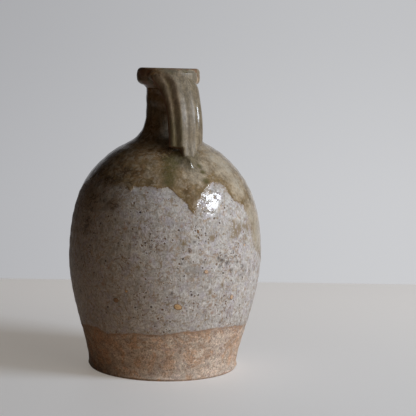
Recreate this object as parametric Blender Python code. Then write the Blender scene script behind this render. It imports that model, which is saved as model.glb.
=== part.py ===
"""A stoneware jug: a thrown vessel, a collar round its mouth, and a pulled strap handle luted on.

Metres, +Z up. The origin is the centre of the foot, and the handle lies along +X in the plane Y = 0.
"""

import math

import bmesh
import bpy
from mathutils import Vector

# Thrown vessel, outside
FOOT_RADIUS = 0.0689
FOOT_CHAMFER = 0.0020
BELLY_RADIUS = 0.0877
BELLY_HEIGHT = 0.1003
SHOULDER_RADIUS = 0.0534
SHOULDER_RISE = 0.0913
SHOULDER_PITCH = math.radians(42.3)
NECK_RADIUS = 0.0198
NECK_RISE = 0.0406
NECK_LENGTH = 0.0226

# Thrown vessel, inside
WALL = 0.0065
NECK_WALL = 0.0054
FLOOR = 0.0080
FLOOR_CORNER = 0.0100
MOUTH_ROUNDING = 0.0022

# Collar round the mouth
COLLAR_DEPTH = 0.0077
COLLAR_HEIGHT = 0.0152
COLLAR_TOP_ROUNDING = 0.0020
COLLAR_FOOT_ROUNDING = 0.0045
COLLAR_UNDERCUT = 0.0028

# Strap handle
STRAP_WIDTH = 0.0320
STRAP_THICKNESS = 0.0082
RIDGE_HEIGHT = 0.0014
RIDGES = 5
STRAP_BEND_DRAW = 0.0054
STRAP_BEND_RISE = 0.0180
STRAP_TOP_DROP = 0.0058
STRAP_TOP_DEPTH = 0.0034
STRAP_TAIL = 0.0036
STRAP_TAIL_DEPTH = 0.0010

# Luting slip between the handle and what carries it
LUTING = 0.0012
LUTING_SPREAD = 0.0016
GAP = 0.0003

# Places of the cubic curves' handles, as shares of the span that each curve crosses
LOWER_WALL_SHARES = ((-0.186, 0.139), (1.0, 0.621))
BELLY_PULL_SHARE = 0.671
SHOULDER_PULL_SHARE = 0.199
FLARE_PULL_SHARE = 0.521
NECK_PULL_SHARE = 0.720
STRAP_LEAVE_SHARES = (0.28, 0.20)
STRAP_BEND_SHARE = 0.50
STRAP_FALL_SHARE = 0.55
STRAP_LAND_SHARE = 0.40

# How the strap's width, thickness and bow round the collar run from its top to the tip of its tail
STRAP_WIDTH_SHARES = ((0.0, 1.22), (0.15, 1.12), (0.35, 1.0), (0.72, 0.98), (0.82, 0.76), (0.91, 0.46), (1.0, 0.20))
STRAP_THICKNESS_SHARES = ((0.0, 0.85), (0.2, 1.0), (0.8, 1.0), (0.92, 0.85), (1.0, 0.40))
STRAP_BOW_SHARES = ((0.0, 1.0), (0.15, 0.9), (0.45, 0.5), (1.0, 0.4))

# The stretches of the strap that the two lutings lie under
COLLAR_LUTING_SHARES = (0.0, 0.4)
ROOT_LUTING_SHARES = (0.6, 1.0)

# How finely the round forms are divided, and the least angle that is left a hard edge
TURNS = 48
WALL_STEPS = 9
FLARE_STEPS = 8
ARC_STEPS = 3
STRAP_STEPS = 14
RIDGE_STEPS = 4
INNER_STEPS = 8
HARD_EDGE = math.radians(40.0)

COLLAR_RADIUS = NECK_RADIUS + COLLAR_DEPTH
BORE_RADIUS = NECK_RADIUS - NECK_WALL
SHOULDER_HEIGHT = BELLY_HEIGHT + SHOULDER_RISE
WAIST_HEIGHT = SHOULDER_HEIGHT + NECK_RISE
COLLAR_BASE = WAIST_HEIGHT + NECK_LENGTH
JUG_HEIGHT = COLLAR_BASE + COLLAR_HEIGHT


def cubic(start, leave, arrive, end, steps):
    """Points of a cubic curve, both ends included."""
    points = []
    for i in range(steps + 1):
        t = i / steps
        s = 1 - t
        points.append(start * s**3 + leave * 3 * s * s * t + arrive * 3 * s * t * t + end * t**3)
    return points


def arc(centre, radius, start, end, steps=ARC_STEPS):
    """Points of a round corner, from one angle to another."""
    angles = [start + (end - start) * i / steps for i in range(steps + 1)]
    return [centre + Vector((math.cos(a), math.sin(a))) * radius for a in angles]


def shoulder_direction():
    """The way up the wall at the shoulder, in radius and height."""
    return Vector((-math.cos(SHOULDER_PITCH), math.sin(SHOULDER_PITCH)))


def wall_outline():
    """The vessel's outer wall, from its foot to its waist, in radius and height."""
    foot = Vector((FOOT_RADIUS, 0))
    belly = Vector((BELLY_RADIUS, BELLY_HEIGHT))
    shoulder = Vector((SHOULDER_RADIUS, SHOULDER_HEIGHT))
    waist = Vector((NECK_RADIUS, WAIST_HEIGHT))
    span = belly - foot
    leave, arrive = (foot + Vector((span.x * x, span.y * y)) for x, y in LOWER_WALL_SHARES)
    up = shoulder_direction()
    over = belly + Vector((0, BELLY_PULL_SHARE * SHOULDER_RISE))
    lower = cubic(foot, leave, arrive, belly, WALL_STEPS)
    upper = cubic(belly, over, shoulder - up * SHOULDER_PULL_SHARE * SHOULDER_RISE, shoulder, WALL_STEPS)
    under = waist - Vector((0, NECK_PULL_SHARE * NECK_RISE))
    flare = cubic(shoulder, shoulder + up * FLARE_PULL_SHARE * NECK_RISE, under, waist, FLARE_STEPS)
    return lower + upper[1:] + flare[1:]


def moved_out(points, distance_at):
    """The same outline moved along its normals, away from the axis where the distance is positive."""
    moved = []
    for i, point in enumerate(points):
        along = points[min(i + 1, len(points) - 1)] - points[max(i - 1, 0)]
        moved.append(point + Vector((along.y, -along.x)).normalized() * distance_at(point))
    return moved


def inner_outline():
    """The inside, from the mouth's edge down to the middle of the floor."""

    def inward(point):
        share = min(1, max(0, (point.y - BELLY_HEIGHT) / (WAIST_HEIGHT - BELLY_HEIGHT)))
        return -(WALL + (NECK_WALL - WALL) * share)

    wall = [p for p in moved_out(wall_outline(), inward) if p.y > FLOOR]
    turn = Vector((wall[0].x, FLOOR))
    wall = [p for p in wall if p.y > FLOOR + FLOOR_CORNER]
    corner = cubic(Vector((turn.x - FLOOR_CORNER, FLOOR)), turn, turn, wall[0], ARC_STEPS)
    return list(reversed([Vector((0, FLOOR))] + corner + wall[1:]))


def vessel_outline():
    """The whole thrown wall, from the middle of the underside round to the middle of the floor."""
    outer = wall_outline()
    chamfer = Vector((outer[0].x - FOOT_CHAMFER, 0))
    lower = [p for p in outer if p.y > FOOT_CHAMFER]
    heel = Vector((outer[0].x, FOOT_CHAMFER))
    crest = Vector((BORE_RADIUS + MOUTH_ROUNDING, JUG_HEIGHT - MOUTH_ROUNDING))
    mouth = arc(crest, MOUTH_ROUNDING, math.pi / 2, math.pi)
    top = [Vector((NECK_RADIUS, COLLAR_BASE)), Vector((NECK_RADIUS, JUG_HEIGHT))]
    bore = [Vector((BORE_RADIUS, COLLAR_BASE))]
    return [Vector((0, 0)), chamfer, heel] + lower + top + mouth + bore + inner_outline()


def collar_outline(inner_radius):
    """The collar's section, from the top of its inner edge round its outside and back."""
    top = Vector((COLLAR_RADIUS - COLLAR_TOP_ROUNDING, JUG_HEIGHT - COLLAR_TOP_ROUNDING))
    foot = Vector((COLLAR_RADIUS - COLLAR_FOOT_ROUNDING, COLLAR_BASE + COLLAR_FOOT_ROUNDING))
    outside = arc(foot, COLLAR_FOOT_ROUNDING, -math.pi / 2, 0) + arc(top, COLLAR_TOP_ROUNDING, 0, math.pi / 2)
    return [Vector((inner_radius, COLLAR_BASE - COLLAR_UNDERCUT))] + outside + [Vector((inner_radius, JUG_HEIGHT))]


def turned(name, outline, closed):
    """A solid turned round the axis from an outline that runs up the outside."""
    mesh = bpy.data.meshes.new(name)
    form = bmesh.new()
    points = [form.verts.new((p.x, 0, p.y)) for p in outline]
    edges = [form.edges.new(pair) for pair in zip(points, points[1:])]
    if closed:
        edges.append(form.edges.new((points[-1], points[0])))
    bmesh.ops.spin(
        form, geom=points + edges, cent=(0, 0, 0), axis=(0, 0, 1), angle=math.tau, steps=TURNS, use_merge=True
    )
    bmesh.ops.remove_doubles(form, verts=form.verts, dist=GAP / 10)
    bmesh.ops.recalc_face_normals(form, faces=form.faces)
    form.to_mesh(mesh)
    form.free()
    return added(name, mesh)


def added(name, mesh):
    """An object of this mesh, shaded smooth with its hard edges kept."""
    mesh.shade_smooth()
    mesh.set_sharp_from_angle(angle=HARD_EDGE)
    made = bpy.data.objects.new(name, mesh)
    bpy.context.scene.collection.objects.link(made)
    return made


def helper(made):
    """Marks an object that only cuts or bounds another."""
    made.hide_render = True
    made.display_type = "WIRE"
    return made


def envelope(name, outline):
    """A solid from the axis out to an outline, for cutting what rests on it."""
    low, high = outline[0], outline[-1]
    return helper(turned(name, [Vector((0, low.y))] + outline + [Vector((0, high.y))], closed=False))


def vessel_envelope(name, clearance):
    """The vessel's outside up to its collar, filled in and grown by a clearance."""
    outline = wall_outline() + [Vector((NECK_RADIUS, COLLAR_BASE))]
    return envelope(name, moved_out(outline, lambda point: clearance))


def collar_envelope(name, clearance):
    """The collar's outside, filled in and grown by a clearance."""
    outline = collar_outline(NECK_RADIUS)
    moved = moved_out(outline[1:-1], lambda point: clearance)
    low = Vector((NECK_RADIUS, outline[0].y - clearance))
    high = Vector((NECK_RADIUS, JUG_HEIGHT + clearance))
    return envelope(name, [low] + moved + [high])


def strap_path():
    """The strap's middle line from inside the collar to the tip of its tail, in radius and height."""
    start = Vector((COLLAR_RADIUS - STRAP_TOP_DEPTH, JUG_HEIGHT - STRAP_TOP_DROP))
    shoulder = Vector((SHOULDER_RADIUS, SHOULDER_HEIGHT))
    bend = shoulder + Vector((-STRAP_BEND_DRAW, STRAP_BEND_RISE))
    fall = start - bend
    leave = start + Vector((-fall.x * STRAP_LEAVE_SHARES[0], -fall.y * STRAP_LEAVE_SHARES[1]))
    upper = cubic(start, leave, bend + Vector((0, fall.y * STRAP_BEND_SHARE)), bend, STRAP_STEPS)
    down = -shoulder_direction()
    out = Vector((-down.y, down.x))
    tip = shoulder + down * STRAP_TAIL - out * STRAP_TAIL_DEPTH
    arrive = tip - down * STRAP_TAIL * STRAP_LAND_SHARE
    low = cubic(bend, bend - Vector((0, STRAP_BEND_RISE * STRAP_FALL_SHARE)), arrive, tip, STRAP_STEPS // 2)
    return upper + low[1:]


def share_at(table, place):
    """A value between the entries of a table of places and shares."""
    for (low, first), (high, second) in zip(table, table[1:]):
        if place <= high:
            return first + (second - first) * (place - low) / (high - low)
    return table[-1][1]


def strap_section(width, thickness, ridge_height, bow):
    """The strap's section, across and outwards: ridged outside, plain inside, its edges bowed inwards."""
    points = []
    steps = RIDGES * RIDGE_STEPS
    for i in range(steps + 1):
        across = -1 + 2 * i / steps
        edge = (1 - across**4) ** 0.5
        ridge = ridge_height * (0.5 - 0.5 * math.cos(math.tau * i / RIDGE_STEPS))
        points.append((across * width / 2, (thickness / 2 + ridge) * edge - bow * across**2))
    for i in range(1, INNER_STEPS):
        across = 1 - 2 * i / INNER_STEPS
        edge = (1 - across**4) ** 0.5
        points.append((across * width / 2, -thickness / 2 * edge - bow * across**2))
    return points


def strap(name, stretch, spread):
    """The strap over a stretch of its path, grown all round by a spread."""
    first, last = stretch
    path = strap_path()
    lengths = [0.0]
    for start, end in zip(path, path[1:]):
        lengths.append(lengths[-1] + (end - start).length)
    places = [length / lengths[-1] for length in lengths]
    kept = [i for i, place in enumerate(places) if first <= place <= last]
    form = bmesh.new()
    rings = []
    for i in kept:
        along = (path[min(i + 1, len(path) - 1)] - path[max(i - 1, 0)]).normalized()
        out = Vector((-along.y, along.x))
        width = STRAP_WIDTH * share_at(STRAP_WIDTH_SHARES, places[i]) + 2 * spread
        thick_share = share_at(STRAP_THICKNESS_SHARES, places[i])
        thickness = STRAP_THICKNESS * thick_share + 2 * spread
        bow = share_at(STRAP_BOW_SHARES, places[i]) * (width / 2) ** 2 / (2 * COLLAR_RADIUS)
        ring = []
        for across, outward in strap_section(width, thickness, RIDGE_HEIGHT * thick_share, bow):
            point = path[i] + out * outward
            ring.append(form.verts.new((point.x, across, point.y)))
        rings.append(ring)
    for low, high in zip(rings, rings[1:]):
        edges = []
        for ring in (low, high):
            for pair in zip(ring, ring[1:] + ring[:1]):
                edges.append(form.edges.get(pair) or form.edges.new(pair))
        bmesh.ops.bridge_loops(form, edges=edges)
    form.faces.new(rings[0])
    form.faces.new(rings[-1])
    bmesh.ops.recalc_face_normals(form, faces=form.faces)
    mesh = bpy.data.meshes.new(name)
    form.to_mesh(mesh)
    form.free()
    return added(name, mesh)


def boolean(target, other, operation):
    """Cuts an object by another, or keeps only what lies inside it."""
    step = target.modifiers.new(f"{operation.lower()}_{other.name}", "BOOLEAN")
    step.operation = operation
    step.object = other
    step.solver = "EXACT"


def finish(made, name, colour, roughness):
    """Gives an object its material."""
    material = bpy.data.materials.new(name)
    material.use_nodes = True
    shader = material.node_tree.nodes["Principled BSDF"]
    shader.inputs["Base Color"].default_value = (*colour, 1)
    shader.inputs["Roughness"].default_value = roughness
    shader.inputs["Metallic"].default_value = 0
    made.data.materials.append(material)


def main():
    for old in list(bpy.data.objects):
        bpy.data.objects.remove(old)

    vessel = turned("vessel_body", vessel_outline(), closed=False)
    collar = turned("mouth_collar", collar_outline(NECK_RADIUS + GAP), closed=True)

    over_slip = GAP + LUTING
    clear_of_slip = over_slip + GAP
    handle = strap("strap_handle", (0, 1), 0)
    boolean(handle, vessel_envelope("vessel_clear", clear_of_slip), "DIFFERENCE")
    boolean(handle, collar_envelope("collar_clear", clear_of_slip), "DIFFERENCE")

    root_slip = strap("root_luting", ROOT_LUTING_SHARES, LUTING_SPREAD)
    boolean(root_slip, vessel_envelope("vessel_slip_outside", over_slip), "INTERSECT")
    boolean(root_slip, vessel_envelope("vessel_slip_inside", GAP), "DIFFERENCE")

    top_slip = strap("collar_luting", COLLAR_LUTING_SHARES, LUTING_SPREAD)
    boolean(top_slip, collar_envelope("collar_slip_outside", over_slip), "INTERSECT")
    boolean(top_slip, collar_envelope("collar_slip_inside", GAP), "DIFFERENCE")

    finish(vessel, "grey_matt_glaze", (0.33, 0.31, 0.28), 0.55)
    finish(collar, "olive_gloss_glaze", (0.24, 0.21, 0.14), 0.18)
    finish(handle, "olive_gloss_glaze_on_strap", (0.26, 0.24, 0.17), 0.18)
    finish(root_slip, "fired_slip_at_root", (0.22, 0.18, 0.12), 0.3)
    finish(top_slip, "fired_slip_at_collar", (0.22, 0.18, 0.12), 0.3)


main()
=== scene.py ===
"""Looks of a thrown stoneware jug: a grey satin glaze over bare clay at the foot, and a glossy
olive ash glaze that ran down over the collar, the strap handle and the shoulder.

Metres, +Z up. The origin is the centre of the foot, and the handle lies along +X.
"""

import math
from typing import NamedTuple

import bmesh
import bpy
import numpy as np
from mathutils import Matrix, Vector, noise


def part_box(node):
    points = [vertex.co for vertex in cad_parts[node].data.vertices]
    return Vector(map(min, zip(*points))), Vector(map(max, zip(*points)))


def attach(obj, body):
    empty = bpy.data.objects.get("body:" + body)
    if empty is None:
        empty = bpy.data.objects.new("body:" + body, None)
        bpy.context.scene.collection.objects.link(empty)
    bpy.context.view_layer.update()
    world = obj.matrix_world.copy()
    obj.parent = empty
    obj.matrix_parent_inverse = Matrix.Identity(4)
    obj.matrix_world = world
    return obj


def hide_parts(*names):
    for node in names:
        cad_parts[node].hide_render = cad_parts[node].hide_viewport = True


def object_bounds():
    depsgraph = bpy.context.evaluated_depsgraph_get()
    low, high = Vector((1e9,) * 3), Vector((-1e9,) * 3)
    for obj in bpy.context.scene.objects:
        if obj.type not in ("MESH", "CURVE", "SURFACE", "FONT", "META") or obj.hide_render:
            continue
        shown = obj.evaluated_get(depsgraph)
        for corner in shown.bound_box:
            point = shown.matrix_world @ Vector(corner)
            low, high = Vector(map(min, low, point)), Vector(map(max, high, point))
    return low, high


bl_info = {
    "name": "Thrown stoneware jug",
    "version": (1, 0, 0),
    "blender": (4, 5, 0),
    "location": "View3D > Sidebar > Jug",
    "description": "Builds a stoneware jug's glazed skins round its packed solids, and the table under it",
    "category": "Add Mesh",
}

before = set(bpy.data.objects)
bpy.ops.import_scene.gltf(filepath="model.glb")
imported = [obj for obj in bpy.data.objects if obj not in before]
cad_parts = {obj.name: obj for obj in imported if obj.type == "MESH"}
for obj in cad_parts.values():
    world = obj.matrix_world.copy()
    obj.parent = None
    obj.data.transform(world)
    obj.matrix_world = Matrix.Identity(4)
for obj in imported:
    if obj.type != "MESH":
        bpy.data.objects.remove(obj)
CAD_LOW, CAD_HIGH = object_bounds()
COLLAR_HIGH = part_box("mouth_collar")[1]

MM = 0.001
PICTURE_SIDE = 416
SENSOR = 36.0

# How finely the skins are divided
WALL_TURNS = 400
WALL_STEP = 1.45 * MM
INNER_STEP = 22 * MM
COLLAR_TURNS = 240
COLLAR_STEP = 0.5 * MM
OUTLINE_STEP = 0.2 * MM
CURVE_STEPS = 60
CORNER_STEPS = 12
LIP_STEPS = 6
FLOOR_STEPS = 4
STRAP_RINGS = 170
PATH_STEPS = 90
PATH_STEP = 1.0 * MM
FACE_STEPS = 88
BACK_STEPS = 24
PATCH_STEPS = 72
GRIT_SIDES = 20
GRIT_RINGS = 12

# A line of sight is followed between these distances from the camera, in this many steps
SIGHT_RANGE = (0.95, 1.35)
SIGHT_STEPS = 2500

# The unrolled wall is measured in metres round this radius, and the glazes' edges up to this distance
UNROLLED_RADIUS = 80 * MM
EDGE_REACH = 14 * MM

# Places of the cubic curves' handles, as shares of the span that each curve crosses
LOWER_WALL_SHARES = ((-0.186, 0.139), (1.0, 0.621))
BELLY_PULL_SHARE = 0.671
SHOULDER_PULL_SHARE = 0.199
FLARE_PULL_SHARE = 0.521
NECK_PULL_SHARE = 0.720
STRAP_LEAVE_SHARES = (0.28, 0.20)
STRAP_BEND_SHARE = 0.50
STRAP_FALL_SHARE = 0.55
STRAP_LAND_SHARE = 0.40

# Unevenness by the size, the height and the seed of each wave. The heights multiply a size that can be
# set, or add to a share; the edges' wander is in metres.
LUMP_WAVES = ((7 * MM, 1.0, 5), (3.2 * MM, 0.5, 6))
COLLAR_WAVES = ((9 * MM, 1.0, 21), (3 * MM, 0.4, 22))
COLLAR_HEM_WAVES = ((10 * MM, 1.6, 23),)
EDGE_WANDER = ((9 * MM, 1.1 * MM, 1), (3.4 * MM, 0.6 * MM, 2))
FOOT_WANDER_SHARE = 0.5
# How wide the glazes' edges step down, in millimetres: where crisp, added where soft, and at the foot
COAT_STEP, SOFT_STEP, FOOT_STEP = 1.6, 6, 1.0
GREY_COAT_SHARE = 0.6
# The bead at the ash glaze's lower edge: its place and half width in millimetres, and how it comes and goes
BEAD_PLACE, BEAD_HALF = 1.4, 1.7
BEAD_WAVES = ((6 * MM, 0.6, 8),)
BEAD_LEAST = 0.7
RING_WAVES = ((40 * MM, 0.4, 3),)
RING_LEAST = 0.6
WOBBLE_WAVES = ((60 * MM, 1.0, 4),)
PIT_WAVES = ((2.6 * MM, 2.2, 7),)
PIT_LEVEL = 0.2
# The blots fade out past this share of their size
BLOT_SHARE = 1.3
# The unevenness fades out over this height under the rim
COLLAR_SHADE = 16 * MM
# Where the collar's top edge is worn
WORN_WAVES = ((7 * MM, 0.9, 24),)
WORN_LEVEL = 0.35
WORN_DROP_SHARE = 0.9
WORN_FADE_SHARE = 0.7
COLLAR_EDGE = 2 * MM
COLLAR_DULL = 0.8

# How the strap's width, thickness and bow round the collar run from its top to the tip of its tail
STRAP_WIDTH_SHARES = ((0.0, 1.20), (0.15, 1.12), (0.35, 1.0), (0.66, 0.96), (1.0, 0.92))
STRAP_THICKNESS_SHARES = (
    (0.0, 0.80), (0.2, 1.0), (0.8, 1.0), (0.86, 0.84), (0.92, 0.58), (1.0, 0.12),
)
STRAP_BOW_SHARES = ((0.0, 1.0), (0.15, 0.95), (0.45, 0.8), (1.0, 0.75))
# The strap's sides end on the shoulder, and a tongue runs on: place down the strap, and what is left of its
# left and of its right half
TONGUE_SHARES = (
    (0.0, 1.0, 1.0), (0.76, 1.0, 1.0), (0.785, 1.0, 0.92), (0.80, 0.97, 0.79), (0.808, 0.76, 0.75),
    (0.816, 0.46, 0.71), (0.83, 0.42, 0.64), (0.86, 0.40, 0.53), (0.88, 0.38, 0.46), (0.90, 0.36, 0.38),
    (0.93, 0.32, 0.28), (0.96, 0.25, 0.18), (1.0, 0.12, 0.05),
)
# Where the tongue starts to lean to one side, and where the top's own lean has ended
TONGUE_LEAN_PLACE = 0.72
TOP_LEAN_PLACE = 0.17

# Crests and grooves across the strap's outer face: place from edge to edge at its top and at its foot, and
# height in ridge heights
RIDGE_SHARES = (
    (-1.0, -1.0, 0.1), (-0.78, -0.88, 0.10), (-0.60, -0.70, -0.80), (-0.36, -0.45, 0.75),
    (-0.22, -0.28, 0.35), (-0.06, -0.07, -0.05), (0.10, 0.12, 0.22), (0.30, 0.35, 0.46),
    (0.50, 0.54, -0.10), (0.67, 0.71, 0.30), (1.0, 1.0, 0.0),
)
# Over how much of their piece the tables' corners are rounded, and with how many samples
SHARE_BLUR = 0.05
TONGUE_BLUR = 0.009
RIDGE_BLUR = 0.06
BLUR_SAMPLES = 9
# The ridges start at this share of the strap's length, are as far apart as they get at the other, and fade
# out over the last one
RIDGE_START_PLACE = 0.11
RIDGE_SPREAD_PLACE = 0.45
RIDGE_END_SHARE = 0.14
RIDGE_BASE_SHARE = 0.35
# The strap's section: how its points crowd to its edges, and how square its face's and its back's edges are
EDGE_CROWD_SHARE = 0.45
FACE_SQUARENESS = 5
BACK_SQUARENESS = 7
FACE_EDGE_SHARE = 0.93
BACK_EDGE_SHARE = 0.9
# How deep a groove has to be for glaze to pool in it
POOL_LEVEL = 0.15
POOL_GAIN = 0.85
BACK_POOL = 0.5
# The strap's left side, turned from the light, burnt brown and partly painted shade: where it begins, how
# wide it fades, how strong it is at the top and by which place it is full; further down glaze pooled there
# instead, also partly painted shade
BURNT_AND_SHADED_SIDE = 0.55
SIDE_START, SIDE_FADE = -0.22, 0.25
SIDE_TOP_SHARE = 0.4
SIDE_FROM, SIDE_SPAN = 0.2, 0.3
SUNK_FROM, SUNK_SPAN = 0.15, 0.5
SIDE_POOL_AND_SHADE = 0.7
STRAP_SAGE = 0.85
# How dull the strap's glaze is, up to which place across it, and over how much it turns glossy
STRAP_DULL = 0.8
DULL_TO = 0.52
DULL_FADE = 0.2

# The slip at the strap's two ends; its pool near the strap is partly painted shade of the crease
SLIP_SAGE = 0.8
SLIP_POOL_AND_SHADE = 0.3
SLIP_DULL = 0.6
SLIP_SUNK = 0.5 * MM
SLIP_UNDER_SHARE = 2.5
SLIP_EDGE_SHARE = 0.12
SLIP_TUCK_SHARE = 0.15
FOOTING_DEPTH = 6 * MM
COLLAR_SLIP_FOOT_SHARE = 0.4
COLLAR_SLIP_DROP = 1.2 * MM

# Grit: how far it stands out of its short half size, where its dark rim begins, and how lumpy it is
GRIT_RISE_SHARE = 0.16
GRIT_LIFT = 0.02 * MM
GRIT_RIM_SHARE, GRIT_RIM_FADE = 0.72, 0.22
GRIT_LUMP_SHARE = 0.10
GRIT_LUMP_SIZE = 1.3

# The finish of all the fired surfaces
GLAZE_IOR = 1.52
GLAZE_SPECULAR = 0.45
RELIEF_DEPTH = 0.35 * MM
CLAY_ROUGHNESS = 0.9
GRIT_ROUGHNESS = 0.6

# The stage
FILL_HEIGHT_SHARE = 0.75
TABLE_EDGE_PIXELS = ((0, 277.9), (400, 283.8))
TABLE_HALF_WIDTH = 2.2
TABLE_DEPTH = 2.6
TABLE_ROUGHNESS = 0.55
# The table's glow from near to far and from left to right: two places in metres, and the shares there
TABLE_FAR_SHARES = (-0.20, 0.40, 0.77, 1.17)
TABLE_SIDE_SHARES = (-0.30, 0.35, 0.90, 1.06)
# The backdrop's change from left to right and from low to high, by direction, and where the room begins
WALL_SIDE_EDGES = (-0.35, 0.20)
WALL_HEIGHT_SHARES = (-0.12, 0.07, 1.0, 0.88)
WALL_REACH = (0.71, 0.965)


# Where the glossy glaze ends, by pixel of the photograph from left to right
GLAZE_LINE_PIXELS = (
    (79.6, 190.7), (85, 183), (90, 181), (96, 174), (101, 178), (106, 184), (110, 181), (114.6, 184.3),
    (120, 184.3), (125, 186), (128, 188), (130, 191.5), (132, 188), (134.6, 185.7), (144.6, 186.4),
    (152, 187), (160, 188.2), (169, 187.3), (174, 191.8), (178, 196), (182, 199), (188, 204), (190, 208),
    (192, 214), (194, 213.5), (195.7, 211.4), (197, 207), (198.4, 202.5), (203, 195), (206, 191),
    (209, 188), (210.5, 183.5), (212, 180.5), (215, 183), (218, 183), (222.5, 183.8), (225, 187),
    (228, 191), (231.4, 197), (234, 200.7), (240.4, 201.6), (244, 206), (247.5, 214), (249.3, 219),
    (251, 228), (253, 238), (255, 246),
)
# The same line behind, where it isn't seen: degrees round from the handle, and height in millimetres
GLAZE_LINE_BEHIND = (
    (66, 96), (72, 101), (79, 118), (88, 122), (94, 110), (98, 108), (103, 121), (115, 130), (126, 127),
    (131, 114), (135, 113), (140, 131), (152, 138), (163, 134), (174, 142), (186, 141), (192, 132),
    (197, 133), (203, 146), (216, 150), (228, 147), (240, 153), (249, 156),
)
# Where the grey glaze ends above the foot, in the same two ways
FOOT_LINE_PIXELS = (
    (81, 324.5), (88, 325.5), (95, 327.3), (101, 331), (106, 334.4), (119, 334.4), (130, 333.7),
    (144, 335), (158, 335.8), (172, 335), (179, 333), (193, 331.6), (207, 330), (221, 328), (235, 326.6),
    (246.6, 324.5),
)
FOOT_LINE_BEHIND = (
    (72, 35), (90, 33), (108, 36), (124, 31), (142, 32), (160, 36), (178, 33), (196, 30), (214, 32),
    (232, 35), (246, 34),
)

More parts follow.
